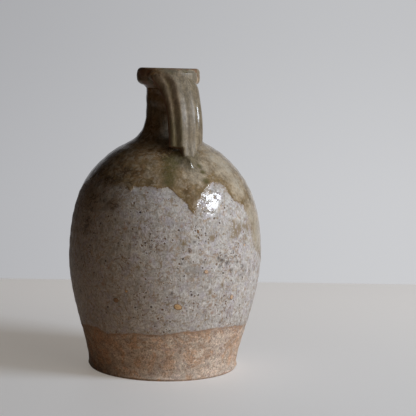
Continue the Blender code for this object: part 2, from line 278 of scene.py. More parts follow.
# Soft round marks on the wall: the pixel of the photograph where each lies, and its size in millimetres
WALL_BLOTS = {
    # Clusters of burst bubbles
    "pitting": (
        (228, 262, 13), (110, 181, 6), (113, 204, 7), (222, 305, 12), (197, 304, 6), (243, 268, 4),
        (150, 245, 12), (120, 262, 9), (232, 326, 9), (140, 300, 10),
    ),
    # Olive and tan stains in the grey glaze
    "stain": (
        (234.5, 226, 7), (236, 232, 7), (233, 236, 3), (248, 227, 4.5), (246, 238, 4), (213, 238, 3.5),
        (222.8, 285.3, 2.6), (184, 243, 3), (240, 227, 5), (244, 226, 4), (90, 196, 10), (210, 293, 2.5),
        (128, 247, 3), (138, 268, 3),
    ),
    # Where the grey glaze is wet and glossy
    "wet": (
        (208, 204, 12), (214, 196, 9), (199, 208, 10),
    ),
    # Where the ash glaze fades out without an edge
    "soft": (
        (84, 184, 24), (104, 180, 17), (122, 180, 9), (256, 240, 18), (250, 222, 10), (247, 212, 6),
    ),
    # Smoke smudges
    "smudge": (
        (196, 270, 4), (201, 272, 4), (190, 268, 3), (112, 204, 5), (106, 207, 4),
    ),
    # Red flashes in the bare clay
    "rust": (
        (107, 341, 7), (115, 346, 6), (98, 336, 9), (104, 353, 7), (166, 364, 6), (192, 362, 5),
        (237, 342, 4), (96, 345, 9), (100, 360, 7), (95, 322, 10),
    ),
    # A pale bloom on the bare clay
    "pale": (
        (193, 345, 6), (222, 350, 9), (182, 368, 6), (160, 354, 5), (215, 365, 8), (186, 374, 5),
        (146, 350, 9), (170, 344, 7), (199, 355, 6), (238, 360, 8),
    ),
    # Where the ash glaze is browner; on the neck's left, next to it on the shoulder and round the strap's
    # foot the marks are painted shade
    "brown": (
        (92, 178, 26), (112, 166, 24), (132, 174, 16), (120, 148, 22), (150, 152, 16), (164, 153, 14),
        (173, 157, 10), (168, 166, 11), (189, 203, 7), (186, 190, 7), (212, 176, 4), (205, 196, 3),
        (143, 90, 22), (150, 110, 16), (149, 134, 15), (152, 182, 9), (140, 150, 18),
    ),
    # Where the ash glaze is thinner and paler; on the neck behind the strap the marks are painted light
    "beige": (
        (108, 170, 10), (100, 176, 9), (216, 158, 16), (226, 170, 14), (198, 176, 9), (204, 166, 9),
        (240, 188, 12), (250, 212, 12), (255, 236, 26), (257, 205, 20), (236, 194, 8), (164, 120, 5),
        (165, 128, 6), (164, 137, 7),
    ),
    # Where the ash glaze ran green; left of the strap's foot the marks are painted shadow of the strap
    "pool": (
        (181, 158, 5), (176, 163, 5), (169, 158, 8), (170, 166, 9), (169, 174, 8), (169, 182, 6),
        (206, 181, 4), (203, 172, 3), (199, 166, 3),
    ),
    # Where the grey glaze is crusted white
    "chalk": (
        (226, 300, 34), (204, 312, 30), (248, 280, 28), (184, 312, 24), (236, 256, 20), (200, 250, 12),
        (164, 232, 8), (142, 322, 14), (180, 284, 14), (250, 300, 20),
    ),
    # Where the ash glaze is greyer
    "sage": (
        (190, 156, 12), (178, 160, 9), (192, 166, 10), (164, 120, 9), (165, 137, 9), (150, 108, 12),
    ),
    # Soft rusty spots
    "spot": (
        (125, 228.5, 2), (154.7, 300.7, 1.8), (102, 284, 2), (108, 268, 1.6), (146, 192, 1.4),
        (191, 252, 1.8), (151, 329.5, 1.6), (213, 313, 2), (94, 217, 1.8), (160, 206, 1.5),
        (161, 217, 1.5), (214, 296, 1.6), (210.8, 305.6, 2.2), (182, 226, 1.5), (150, 262, 1.6),
        (205, 254, 1.5), (188, 281, 1.6), (99, 208, 1.6), (134, 237, 1.4), (172, 250, 1.3),
    ),
    # Scorched specks
    "scorch": (
        (104, 200, 2.6), (111, 206, 3), (116, 204, 2), (115, 219.5, 1.3), (136, 233, 1.6),
        (120, 187, 1.6), (79.6, 291, 2.2), (172, 293.7, 1.8), (118, 243.5, 1.5), (235, 257, 1.5),
        (223, 260, 2.4), (228, 263, 2.4), (219, 258, 2), (243, 266, 1.8), (232, 270, 1.6),
        (195, 242, 1.5), (205, 262, 1.6), (182, 264, 1.6), (151, 247, 1.4), (190, 251, 2),
        (226, 256, 1.4), (238, 262, 1.5), (221, 266, 1.3), (246, 271, 1.4), (241, 275, 1.4),
        (108, 203, 2.6), (113, 200, 2.2), (234, 252, 1.2),
    ),
    # Painted light on the ash glaze, as paler milky glaze: light through the gap behind the strap on the
    # neck, and sheen on the shoulder's right
    "milky": (
        (164, 120, 5), (165, 128, 6), (166, 136, 6), (165, 144, 6), (226, 166, 10), (238, 184, 9),
        (215, 158, 7), (251, 215, 10), (256, 236, 16),
    ),
    # Where the wet glaze lies smooth
    "calm": (
        (212, 206, 5),
    ),
    # Where both glazes burnt brown-black; at the far left and round the strap's foot the marks are painted
    # shade
    "burnt_and_shadow": (
        (88, 186, 14), (98, 178, 13), (109, 181, 11), (106, 166, 8), (121, 172, 10), (92, 200, 14),
        (113, 203, 8), (130, 182, 4), (160, 156, 9), (170, 155, 8), (86, 222, 10), (78, 205, 16),
        (178, 153, 7), (174, 148, 8), (181, 158, 4),
    ),
}
# Marks on the collar, in the same way
COLLAR_BLOTS = {
    # Where its glaze is chipped to the dark body; the marks under its lower edge on the left are painted
    # shade
    "thin": (
        (196.3, 71.5, 2.6), (197, 75, 2), (187.5, 69.5, 1.4), (178, 70, 1.5), (141, 71, 8), (149, 72, 5),
        (146, 84, 5), (157, 84, 4),
    ),
    # Where it is chipped to bare clay
    "chip": (
        (197.4, 80.5, 2.8),
    ),
    # Where it pooled
    "pool": (
        (185, 73, 2.6), (171, 74, 2.5), (140, 77, 9), (151, 80, 6), (160, 79, 4),
    ),
    # Its brown side
    "brown": (
        (141, 74, 17), (152, 78, 13), (160, 80, 8),
    ),
    # Where it is paler
    "beige": (
        (191, 77, 7), (195, 84, 5),
    ),
    # Where it is greyer
    "sage": (
        (188, 78, 16), (172, 72, 10),
    ),
}

# Grit burst through the glaze: pixel, long and short half sizes in millimetres, turn in degrees, and clay
GRIT_PIXELS = (
    (178, 307.5, 4.1, 2.8, -24, "tan"),
    (115.4, 300.5, 2.6, 2.3, 0, "brown"),
    (231.9, 297.2, 2, 2.6, 20, "orange"),
    (206.6, 271.9, 2, 1.8, 0, "orange"),
    (126, 291.6, 1.5, 1.3, 0, "tan"),
    (198.5, 231.5, 1, 1.6, 0, "brown"),
    (245, 245, 1.4, 1.1, 0, "orange"),
)


def cubic(start, leave, arrive, end, steps):
    """Points of a cubic curve, both ends included."""
    t = np.linspace(0, 1, steps + 1)[:, None]
    s = 1 - t
    return start * s**3 + leave * 3 * s * s * t + arrive * 3 * s * t * t + end * t**3


def arc(centre, radius, start, end, steps=CORNER_STEPS):
    """Points of a round corner, from one angle to another."""
    a = np.linspace(start, end, steps + 1)
    return np.array(centre) + radius * np.stack([np.cos(a), np.sin(a)], 1)


def joined(*stretches):
    """One outline from several stretches, without the points that repeat."""
    points = np.concatenate([np.atleast_2d(s) for s in stretches])
    steps = np.linalg.norm(np.diff(points, axis=0), axis=1)
    return points[np.concatenate([[True], steps > OUTLINE_STEP / 100])]


def lengths_along(points):
    """How far along an outline each of its points lies."""
    return np.concatenate([[0], np.cumsum(np.linalg.norm(np.diff(points, axis=0), axis=1))])


def resampled(points, step):
    """The same outline with points at an even step."""
    lengths = lengths_along(points)
    places = np.linspace(0, lengths[-1], max(2, round(lengths[-1] / step) + 1))
    return np.stack([np.interp(places, lengths, column) for column in points.T], 1)


def smooth(value):
    """An even rise from 0 to 1, flat at both ends."""
    value = np.clip(value, 0, 1)
    return value * value * (3 - 2 * value)


def roughness_at(points, size, seed=0.0):
    """Smooth noise of a given size at each point, from about -1 to 1."""
    shift = Vector((seed * 7.13, seed * 3.71, seed * 5.39))
    return np.array([noise.noise(Vector(p) / size + shift) for p in points])


def unevenness(points, waves):
    """Smooth noise of several sizes added up, by the size, height and seed of each."""
    return sum(roughness_at(points, size, seed) * height for size, height, seed in waves)


def settings(name):
    """A group of sizes or colours from the scene."""
    return getattr(bpy.context.scene, name)


class Surface:
    """A surface turned round the axis, known by the outline of its outer side."""

    def __init__(self, outline):
        points = resampled(outline, OUTLINE_STEP)
        self.radii, self.heights = points.T
        along = np.gradient(points, axis=0)
        along /= np.linalg.norm(along, axis=1)[:, None]
        self.out = np.stack([along[:, 1], -along[:, 0]], 1)
        self.lengths = lengths_along(points)

    def place(self, azimuths, lengths, lift=0.0):
        """Points of the surface by their angle round it and how far up its outline they lie."""
        radii = np.interp(lengths, self.lengths, self.radii)
        heights = np.interp(lengths, self.lengths, self.heights)
        out = [np.interp(lengths, self.lengths, column) for column in self.out.T]
        radii = radii + out[0] * lift
        return np.stack([radii * np.cos(azimuths), radii * np.sin(azimuths), heights + out[1] * lift], -1)

    def measure(self, points):
        """The angle and the place along the outline of points near a surface whose heights rise."""
        azimuths = np.arctan2(points[:, 1], points[:, 0])
        return azimuths, np.interp(points[:, 2], self.heights, self.lengths)

    def seen(self, pixel):
        """The angle and the place along the outline of what the photograph shows at a pixel."""
        place, ray = ray_through(pixel)
        away = np.linspace(*SIGHT_RANGE, SIGHT_STEPS)
        points = np.array(place) + np.array(ray) * away[:, None]
        spare = np.hypot(points[:, 0], points[:, 1]) - np.interp(points[:, 2], self.heights, self.radii)
        hits = np.flatnonzero(spare <= 0)
        found = points[hits[0] if len(hits) else np.argmin(spare)]
        azimuths, lengths = self.measure(found[None])
        return azimuths[0], lengths[0]


def camera_frame(stage):
    """Where the camera stands, and its right, up and forward directions."""
    azimuth = stage.camera_azimuth
    inward = Vector((-math.sin(azimuth), math.cos(azimuth), 0))
    place = Vector((0, 0, stage.eye_height)) - inward * stage.distance
    forward = Matrix.Rotation(-stage.yaw, 3, "Z") @ inward
    right = forward.cross(Vector((0, 0, 1))).normalized()
    forward = Matrix.Rotation(-stage.pitch, 3, right) @ forward
    up = right.cross(forward)
    turn = Matrix.Rotation(-stage.roll, 3, forward)
    return place, turn @ right, turn @ up, forward


def ray_through(pixel):
    """Where the camera stands, and which way it sees a pixel of the photograph."""
    stage = settings("jug_stage")
    place, right, up, forward = camera_frame(stage)
    focal = PICTURE_SIDE * stage.lens / SENSOR
    across, rise = (pixel[0] - PICTURE_SIDE / 2) / focal, (PICTURE_SIDE / 2 - pixel[1]) / focal
    return place, forward + right * across + up * rise


def shoulder_direction(vessel):
    """The way up the wall at the shoulder, in radius and height."""
    return np.array((-math.cos(vessel.shoulder_pitch), math.sin(vessel.shoulder_pitch)))


def wall_outline(vessel):
    """The vessel's outer wall, from its foot to its waist, in radius and height."""
    foot = np.array((vessel.foot_radius, 0))
    belly = np.array((vessel.belly_radius, vessel.belly_height))
    shoulder = np.array((vessel.shoulder_radius, vessel.belly_height + vessel.shoulder_rise))
    waist = np.array((vessel.neck_radius, shoulder[1] + vessel.neck_rise))
    leave, arrive = (foot + (belly - foot) * share for share in LOWER_WALL_SHARES)
    up = shoulder_direction(vessel)
    over = belly + (0, BELLY_PULL_SHARE * vessel.shoulder_rise)
    lower = cubic(foot, leave, arrive, belly, CURVE_STEPS)
    below = shoulder - up * SHOULDER_PULL_SHARE * vessel.shoulder_rise
    upper = cubic(belly, over, below, shoulder, CURVE_STEPS)
    under = waist - (0, NECK_PULL_SHARE * vessel.neck_rise)
    above = shoulder + up * FLARE_PULL_SHARE * vessel.neck_rise
    flare = cubic(shoulder, above, under, waist, CURVE_STEPS)
    return joined(lower, upper, flare)


def vessel_surface(vessel):
    """The vessel's outside from the table to the rim."""
    return Surface(joined(wall_outline(vessel), (vessel.neck_radius, vessel.height)))


def collar_outline(collar):
    """The collar's outside, from under its lower edge round to the mouth."""
    top, base = collar.height, collar.base
    foot = (collar.radius - collar.foot_rounding, base + collar.foot_rounding)
    crest = (collar.radius - collar.top_rounding, top - collar.top_rounding)
    lip = (collar.mouth_radius + collar.lip_rounding, top - collar.lip_rounding)
    outline = resampled(joined(
        (collar.neck_radius - collar.bite, base - collar.undercut),
        arc(foot, collar.foot_rounding, -math.pi / 2, 0),
        arc(crest, collar.top_rounding, 0, math.pi / 2),
        arc(lip, collar.lip_rounding, math.pi / 2, math.pi),
    ), OUTLINE_STEP)
    rise = np.clip((outline[:, 1] - base) / (top - base), 0, 1)
    side = smooth((outline[:, 0] - collar.neck_radius) / (collar.radius - collar.neck_radius))
    outline[:, 0] += collar.bulge * 4 * rise * (1 - rise) * side
    return outline


def collar_surface(collar):
    """The collar's outside without the rounding into the mouth."""
    outline = resampled(collar_outline(collar), OUTLINE_STEP)
    return Surface(outline[: -int(collar.lip_rounding / OUTLINE_STEP)])


def finished(name, form):
    """A mesh from a form, with all its faces turned outward."""
    bmesh.ops.recalc_face_normals(form, faces=form.faces)
    mesh = bpy.data.meshes.new(name)
    form.to_mesh(mesh)
    form.free()
    return mesh


def turned(name, outline, turns, closed):
    """A mesh turned round the axis from an outline that runs up the outside."""
    form = bmesh.new()
    points = [form.verts.new((radius, 0, height)) for radius, height in outline]
    edges = [form.edges.new(pair) for pair in zip(points, points[1:])]
    if closed:
        edges.append(form.edges.new((points[-1], points[0])))
    bmesh.ops.spin(
        form, geom=points + edges, cent=(0, 0, 0), axis=(0, 0, 1), angle=math.tau, steps=turns,
        use_merge=True,
    )
    bmesh.ops.remove_doubles(form, verts=form.verts, dist=OUTLINE_STEP / 100)
    return finished(name, form)


def points_of(mesh):
    """A mesh's points as an array."""
    points = np.zeros(len(mesh.vertices) * 3)
    mesh.vertices.foreach_get("co", points)
    return points.reshape(-1, 3)


def move_points(mesh, points):
    """Puts a mesh's points at new places."""
    mesh.vertices.foreach_set("co", points.ravel())
    mesh.update()


def mark(mesh, name, values):
    """Keeps a value at each point of a mesh for its material."""
    layer = mesh.attributes.new(name, "FLOAT", "POINT")
    layer.data.foreach_set("value", np.asarray(values, np.float32))


def show(name, mesh, material, slot, *nodes):
    """Puts a finished mesh in the scene in place of its solids."""
    mesh.shade_smooth()
    mesh.materials.append(material)
    piece = bpy.data.objects.new(name, mesh)
    bpy.context.scene.collection.objects.link(piece)
    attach(piece, "root")
    if nodes:
        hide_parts(*nodes)
    return piece


def unrolled(azimuths, lengths):
    """Places on the wall laid out flat, in metres round it and up its outline."""
    return np.stack([np.asarray(azimuths) * UNROLLED_RADIUS, np.asarray(lengths)], -1)


def edge_distance(points, corners):
    """How far each point lies inside a closed outline; below zero outside."""
    nearest = np.full(len(points), EDGE_REACH)
    inside = np.zeros(len(points), bool)
    x, y = points.T
    for (ax, ay), (bx, by) in zip(corners, np.roll(corners, -1, axis=0)):
        if by != ay:
            crosses = (ay > y) != (by > y)
            inside ^= crosses & (x < (bx - ax) * (y - ay) / (by - ay) + ax)
        near = (x > min(ax, bx) - EDGE_REACH) & (x < max(ax, bx) + EDGE_REACH)
        px, py = x[near] - ax, y[near] - ay
        dx, dy = bx - ax, by - ay
        share = np.clip((px * dx + py * dy) / max(dx * dx + dy * dy, 1e-12), 0, 1)
        nearest[near] = np.minimum(nearest[near], np.hypot(px - dx * share, py - dy * share))
    return np.where(inside, nearest, -nearest)


def ring_line(surface, pixels, behind):
    """A line round the wall from its seen pixels and its unseen places, as unrolled points."""
    seen = [surface.seen(p) for p in pixels]
    hidden = [
        (math.radians(turn), np.interp(height * MM, surface.heights, surface.lengths))
        for turn, height in behind
    ]
    line = unrolled(*zip(*(seen + hidden)))
    lap = np.array((math.tau * UNROLLED_RADIUS, 0))
    return np.concatenate([line - lap, line, line + lap])


def zone_above(line, top):
    """A line round the wall closed into the outline of all that lies above it."""
    return np.concatenate([line, [(line[-1][0], top), (line[0][0], top)]])


def blots(surface, points, places):
    """Soft round marks at pixels of the photograph, from 0 to 1."""
    total = np.zeros(len(points))
    for x, y, size in places:
        azimuth, length = surface.seen((x, y))
        centre = surface.place(np.array(azimuth), np.array(length))
        away = np.linalg.norm(points - centre, axis=1)
        total = np.maximum(total, smooth(BLOT_SHARE - away / (size * MM)))
    return total


class Wall:
    """What lies where on the vessel's outer wall: the glazes' edges, and how far the skin stands out."""

    def __init__(self, vessel):
        self.vessel = vessel
        self.surface = vessel_surface(vessel)
        self.glaze_zone = zone_above(ring_line(self.surface, GLAZE_LINE_PIXELS, GLAZE_LINE_BEHIND), 1.0)
        self.foot_zone = zone_above(ring_line(self.surface, FOOT_LINE_PIXELS, FOOT_LINE_BEHIND), 1.0)

    def marks(self, points):
        """The named values that the material reads at each point."""
        azimuths, lengths = self.surface.measure(points)
        flat = unrolled(azimuths, lengths)
        wander = unevenness(points, EDGE_WANDER)
        gloss = edge_distance(flat, self.glaze_zone)
        bare = -edge_distance(flat, self.foot_zone)
        return {
            "gloss_edge": (gloss + wander) / MM,
            "bare_edge": (bare + wander * FOOT_WANDER_SHARE) / MM,
            **{name: blots(self.surface, points, places) for name, places in WALL_BLOTS.items()},
        }

    def lift(self, points, marks):
        """How far the skin stands out from the plain turned wall at each point."""
        vessel = self.vessel
        azimuths, lengths = self.surface.measure(points)
        gloss, bare = marks["gloss_edge"], marks["bare_edge"]
        soft = marks["soft"]
        coat = vessel.glaze_thickness * smooth(gloss / (COAT_STEP + SOFT_STEP * soft) + 0.5)
        roll = np.exp(-(((gloss - BEAD_PLACE) / BEAD_HALF) ** 2)) * (1 - soft)
        bead = vessel.bead * roll * (BEAD_LEAST + unevenness(points, BEAD_WAVES))
        grey = vessel.glaze_thickness * GREY_COAT_SHARE * smooth(-bare / FOOT_STEP + 0.5)
        rings = np.sin(math.tau * lengths / vessel.ring_spacing + azimuths) * vessel.ring_height
        rings = rings * (RING_LEAST + unevenness(points, RING_WAVES))
        wobble = unevenness(points, WOBBLE_WAVES) * vessel.wobble
        lumps = unevenness(points, LUMP_WAVES) * vessel.lumps
        burst = smooth(unevenness(points, PIT_WAVES) - PIT_LEVEL)
        pits = -vessel.pit_depth * marks["pitting"] * burst
        stands = coat + bead + grey + rings + wobble + lumps + pits - vessel.allowance
        on_table = smooth(points[:, 2] / vessel.foot_chamfer - 0.5)
        under_collar = smooth((vessel.height - points[:, 2]) / COLLAR_SHADE)
        return stands * on_table * under_collar


def vessel_outline(vessel):
    """The whole thrown wall, from the middle of the underside round to the middle of the floor."""
    wall = wall_outline(vessel)
    outer = resampled(wall[wall[:, 1] > vessel.foot_chamfer], WALL_STEP)
    under = resampled(np.array(((0, 0), (vessel.foot_radius - vessel.foot_chamfer, 0))), INNER_STEP / 2)
    heel = (vessel.foot_radius, vessel.foot_chamfer)
    top = vessel.height - vessel.mouth_rounding
    neck = resampled(np.array((outer[-1], (vessel.neck_radius, top))), WALL_STEP)
    bore = vessel.neck_radius - vessel.neck_wall
    rim = arc((bore + vessel.mouth_rounding, top), vessel.mouth_rounding, math.pi / 2, math.pi, LIP_STEPS)
    along = np.gradient(wall, axis=0)
    along /= np.linalg.norm(along, axis=1)[:, None]
    rise = np.clip((wall[:, 1] - vessel.belly_height) / (wall[-1, 1] - vessel.belly_height), 0, 1)
    thickness = vessel.wall + (vessel.neck_wall - vessel.wall) * rise
    inner = wall - np.stack([along[:, 1], -along[:, 0]], 1) * thickness[:, None]
    inner = inner[inner[:, 1] > vessel.floor + vessel.floor_corner]
    corner = cubic(
        np.array((inner[0, 0] - vessel.floor_corner, vessel.floor)),
        np.array((inner[0, 0], vessel.floor)),
        np.array((inner[0, 0], vessel.floor)),
        inner[0],
        FLOOR_STEPS,
    )
    hollow = joined(resampled(inner, INNER_STEP / 2)[::-1], corner[::-1], (0, vessel.floor))
    return joined(under, heel, outer, neck, rim, (bore, vessel.height - 2 * COLLAR_SHADE), hollow)


class Cloud(NamedTuple):
    """Noise: the size of its features in millimetres, detail, roughness, twist and stretch along the axes,
    then where in it a mask begins and is full, and the mask's values before and after."""

    size: float
    detail: float = 3.0
    roughness: float = 0.55
    twist: float = 0.0
    stretch: tuple = (1, 1, 1)
    low: float = 0.0
    high: float = 1.0
    first: float = 0.0
    last: float = 1.0


class Layer(NamedTuple):
    """A coat of one colour where a cloud is dense: what adds to the cloud, its share, and what limits it."""

    colour: str
    cloud: str
    more: str = ""
    share: float = 0.0
    within: str = ""


CLOUDS = {
    # The ash glaze: its body, its browning and paling, clouds of light and shade, milk for painted light,
    # dregs and streaks
    "ash": Cloud(11, 5, 0.66, 0.9, (0.7, 0.7, 1.2)),
    "curdle": Cloud(5, 4, 0.66, 0.7, low=0.35, high=0.7, first=0.12, last=0.26),
    "runs": Cloud(3.2, 3, 0.6, 0.0, (1, 1, 0.22)),
    "browning": Cloud(9, 5, 0.7, 1.2, low=0.52, high=0.70, last=0.80),
    "swing": Cloud(8, 4, 0.6, 0.6, low=0.36, high=0.64, first=-0.18, last=0.18),
    "blotch": Cloud(14, 4, 0.65, 1.0, (1, 1, 1.7), 0.42, 0.60, 0.20, -0.26),
    "paling": Cloud(6, 4, 0.65, 0.8, low=0.48, high=0.58, last=0.55),
    "milk": Cloud(3.6, 3, 0.6, 0.6, (1, 1, 0.4), 0.34, 0.56, 0.0, 0.65),
    "dregs": Cloud(6, 3, 0.6, 0.8, (1, 1, 0.5), 0.30, 0.55, 0.3825, 0.85),
    "streaks": Cloud(2.2, 3, 0.6, 0.3, (1, 1, 0.12), 0.34, 0.66, -0.22, 0.22),
    "ash_grain": Cloud(1.3, 4, 0.7, 0.4, low=0.3, high=0.7, first=0.78, last=1.22),
    "peel": Cloud(3.4, 2, 0.5),
    # The grey glaze: its tone, veils and stains, its curdled grain, crusts, flecks and marks
    "tone": Cloud(20, 5, 0.65, 0.8, low=0.36, high=0.62),
    "veil": Cloud(3, 4, 0.65, 1.2, (1, 1, 0.3), 0.50, 0.72, 0.0, 0.7),
    "lilac": Cloud(8, 4, 0.65, 0.8, low=0.50, high=0.60, last=0.9),
    "tan": Cloud(7.5, 5, 0.76, 1.8, low=0.52, high=0.60, last=0.85),
    "curd": Cloud(3.6, 5, 0.78, 0.9, low=0.30, high=0.70, first=0.66, last=1.34),
    "bruise": Cloud(5, 4, 0.65, 1.0, low=0.58, high=0.66, last=0.75),
    "scabs": Cloud(4.6, 5, 0.72, 3.0, low=0.575, high=0.62, last=0.9),
    "flecks": Cloud(3.4, 4, 0.68, 1.8, (1, 1, 0.6), 0.56, 0.62, 0.0, 0.8),
    "stains": Cloud(3.4, 5, 0.76, 1.0, (1, 1, 0.5), 0.41, 0.51, 0.0, 0.9),
    "spots": Cloud(1.8, 3, 0.65, 1.0, low=0.34, high=0.46, last=0.8),
    "scorches": Cloud(1.8, 3, 0.65, 1.0, low=0.34, high=0.46, last=0.9),
    "smudges": Cloud(3.6, 4, 0.7, 0.5, low=0.36, high=0.56, last=0.6),
    "crowds": Cloud(15, 2, low=0.42, high=0.66, last=0.22),
    "ripple": Cloud(2.6, 2, 0.5),
    # Where both glazes stained and burnt, and their torn edges
    "staining": Cloud(7, 4, 0.7, 1.0, (1, 1, 0.7), 0.38, 0.60, 0.15, 0.85),
    "burning": Cloud(4.4, 4, 0.72, 1.2, (1, 1, 1.3), 0.49, 0.57, 0.0, 0.7),
    "edge_fine": Cloud(1.7, 3),
    "edge_broad": Cloud(5, 2),
    # Bare clay: its flashes, bloom, violet, tone, grime, grit and turning marks
    "flashes": Cloud(17, 5, 0.62, 1.0, low=0.46, high=0.58),
    "bloom": Cloud(4.2, 4, 0.68, 0.4, low=0.53, high=0.68, last=0.9),
    "violet": Cloud(7, 4, 0.65, 1.4, low=0.54, high=0.62, last=0.6),
    "clay_tone": Cloud(11, 4, 0.6, 1.2, (1, 1, 1.6), 0.38, 0.62, 0.84, 1.18),
    "grime": Cloud(4.6, 5, 0.74, 1.8, low=0.52, high=0.62, last=0.8),
    "clay_grit": Cloud(1.2, 3, 0.7, low=0.28, high=0.72, first=0.64, last=1.34),
    "turning": Cloud(1.6, 2, 0.5, 0.0, (0.08, 0.08, 1)),
    "grit": Cloud(1.0, 3, 0.7, low=0.3, high=0.7, first=0.75, last=1.15),
}
GREY_UNDER = (
    Layer("grey_pale", "veil", "Chalk", 0.13),
    Layer("grey_lilac", "lilac"),
    Layer("tan_stain", "tan"),
)
GREY_OVER = (
    Layer("olive_stain", "bruise"),
    Layer("pit_brown", "scabs", "Pitting", 0.05),
    Layer("grey_pale", "flecks"),
    Layer("olive_stain", "stains", within="Stain"),
    Layer("rusty_spot", "spots", within="Spot"),
    Layer("pit_dark", "scorches", within="Scorch"),
    Layer("grey_smudge", "smudges", within="Smudge"),
)
CLAY_BLOOMS = (
    Layer("clay_pale", "bloom", "Pale", 0.13),
    Layer("clay_violet", "violet"),
)
CLAY_GRIME = (Layer("clay_dark", "grime"),)

# What the meshes keep at their points for each glaze and for the clay
ASH_MARKS = ("Pool", "Thin", "Brown", "Beige", "Sage", "Milky", "Dull")
GREY_MARKS = ("Pitting", "Stain", "Smudge", "Wet", "Chalk", "Spot", "Scorch", "Calm")
CLAY_MARKS = ("Rust", "Pale")

# What mixes beige and olive in the ash glaze: its clouds, and what pulls it either way
ASH_CLOUD_SHARES = (("ash", 0.52), ("curdle", 0.46), ("runs", 0.28))
ASH_PULL_SHARES = (("Beige", 0.14), ("Brown", -0.13), ("Run", -0.09))
BROWNING_SHARES = (("Brown", 0.15), ("Beige", -0.08))
# Between which mixtures, and how much, the glaze turns beige, ochre where it ran, and grey-green
BEIGE_RISE = (0.48, 0.80)
OCHRE_RISE = (0.46, 0.66, 0.9, 0.15)
SAGE_RISE = (0.42, 0.66, 0.95, 0.80)
OCHRE_LEFT = (0.0, 0.8, 1.0, 0.25)
PLAIN_LEFT = (0.0, 0.9, 1.0, 0.25)
BROWN_RISE = (0.0, 0.8)
STREAK_RISE = (0.3, 0.8)
DULL_ROUGHNESS = 0.5
THIN_ROUGHNESS = 0.6
PEEL_SHARE = 0.8

# Scattered marks: spacing, which share of the places has one, and size in spacings
IRON_SPECKS = (6 * MM, 0.16, 0.11)
BURST_BUBBLES = (4.2 * MM, 0.75, 0.42)
SPECK_SHARE, SPECK_DEPTH = 0.8, -0.4
# Pits of two sizes: spacing, and size in spacings
SMALL_PITS = (2.9 * MM, 0.42)
LARGE_PITS = (6.5 * MM, 0.23)
# The least share of the places that has a pit, what a cluster adds, and how many fewer are large
PIT_LEAST, PIT_CLUSTER_SHARE, PIT_LARGE_SHARE = 0.10, 0.5, 0.7
PIT_COLOUR_RISE = (0.2, 0.7)
PIT_RIM_SHARE, PIT_CENTRE_SHARE = 0.4, 0.9
CURD_RELIEF, PIT_RELIEF, RIM_RELIEF = 0.55, -0.8, 0.15
# The wet patch of the grey glaze: how rough its burst bubbles leave it, and how smooth it shines
CALM_RISE = (0.2, 0.6, 1.0, 0.05)
BURST_RELIEF, RIPPLE_RELIEF = 1.6, 0.5
WET_RISE = (0.15, 0.6)
WET_ROUGHNESS = 0.09
SATIN_RISE = (0.3, 0.7, 0.50, 0.66)
# A pit by distance from its centre in pit sizes: its hollow, and its rim's rise and fall
PIT_BEND_SIZE, PIT_BEND = 2 * MM, 1.1 * MM
PIT_LEAST_SHARE = 0.45
PIT_HOLLOW = (0.55, 1.0, 1.0, 0.0)
PIT_RIM = (0.8, 1.15, 1.15, 1.7)
LEAST_SIZE = 0.01
DISH_RISE = (0.2, 0.85, -1.0, 0.35)
DISH_END = (0.85, 1.3, 1.0, 0.0)
RUST_SHARE = 0.85
GRIT_RELIEF, TURNING_RELIEF = 0.7, 0.3
GRIT_RIM_DARKNESS = 0.8

# The edges between the glazes: crisp and soft values for the ash glaze's, and the foot's own
GLOSS_EDGE = {"Tear": (4.6, 11.0), "Wander": (2.4, 12.0), "Softness": (0.5, 4.0)}
FOOT_EDGE = {"Tear": 2.6, "Wander": 2.4, "Softness": 0.7}
# Bands along the edges, in millimetres inside them: their rise and their fall, and how strong they are
LIP_BAND, LIP_SHARE = (-0.4, 0.3, 0.5, 2.4), 0.45
FOOT_BAND, FOOT_LIP_SHARE = (-1.0, 0.4, 0.4, 3.0), 0.5
RUN_FALL = (2.0, 12.0, 0.9, 0.0)
NEAR_ASH_RISE, NEAR_ASH_SHARE = (-3.0, -0.2), 0.30
ASH_STEP, CLAY_STEP = 0.6, -0.5


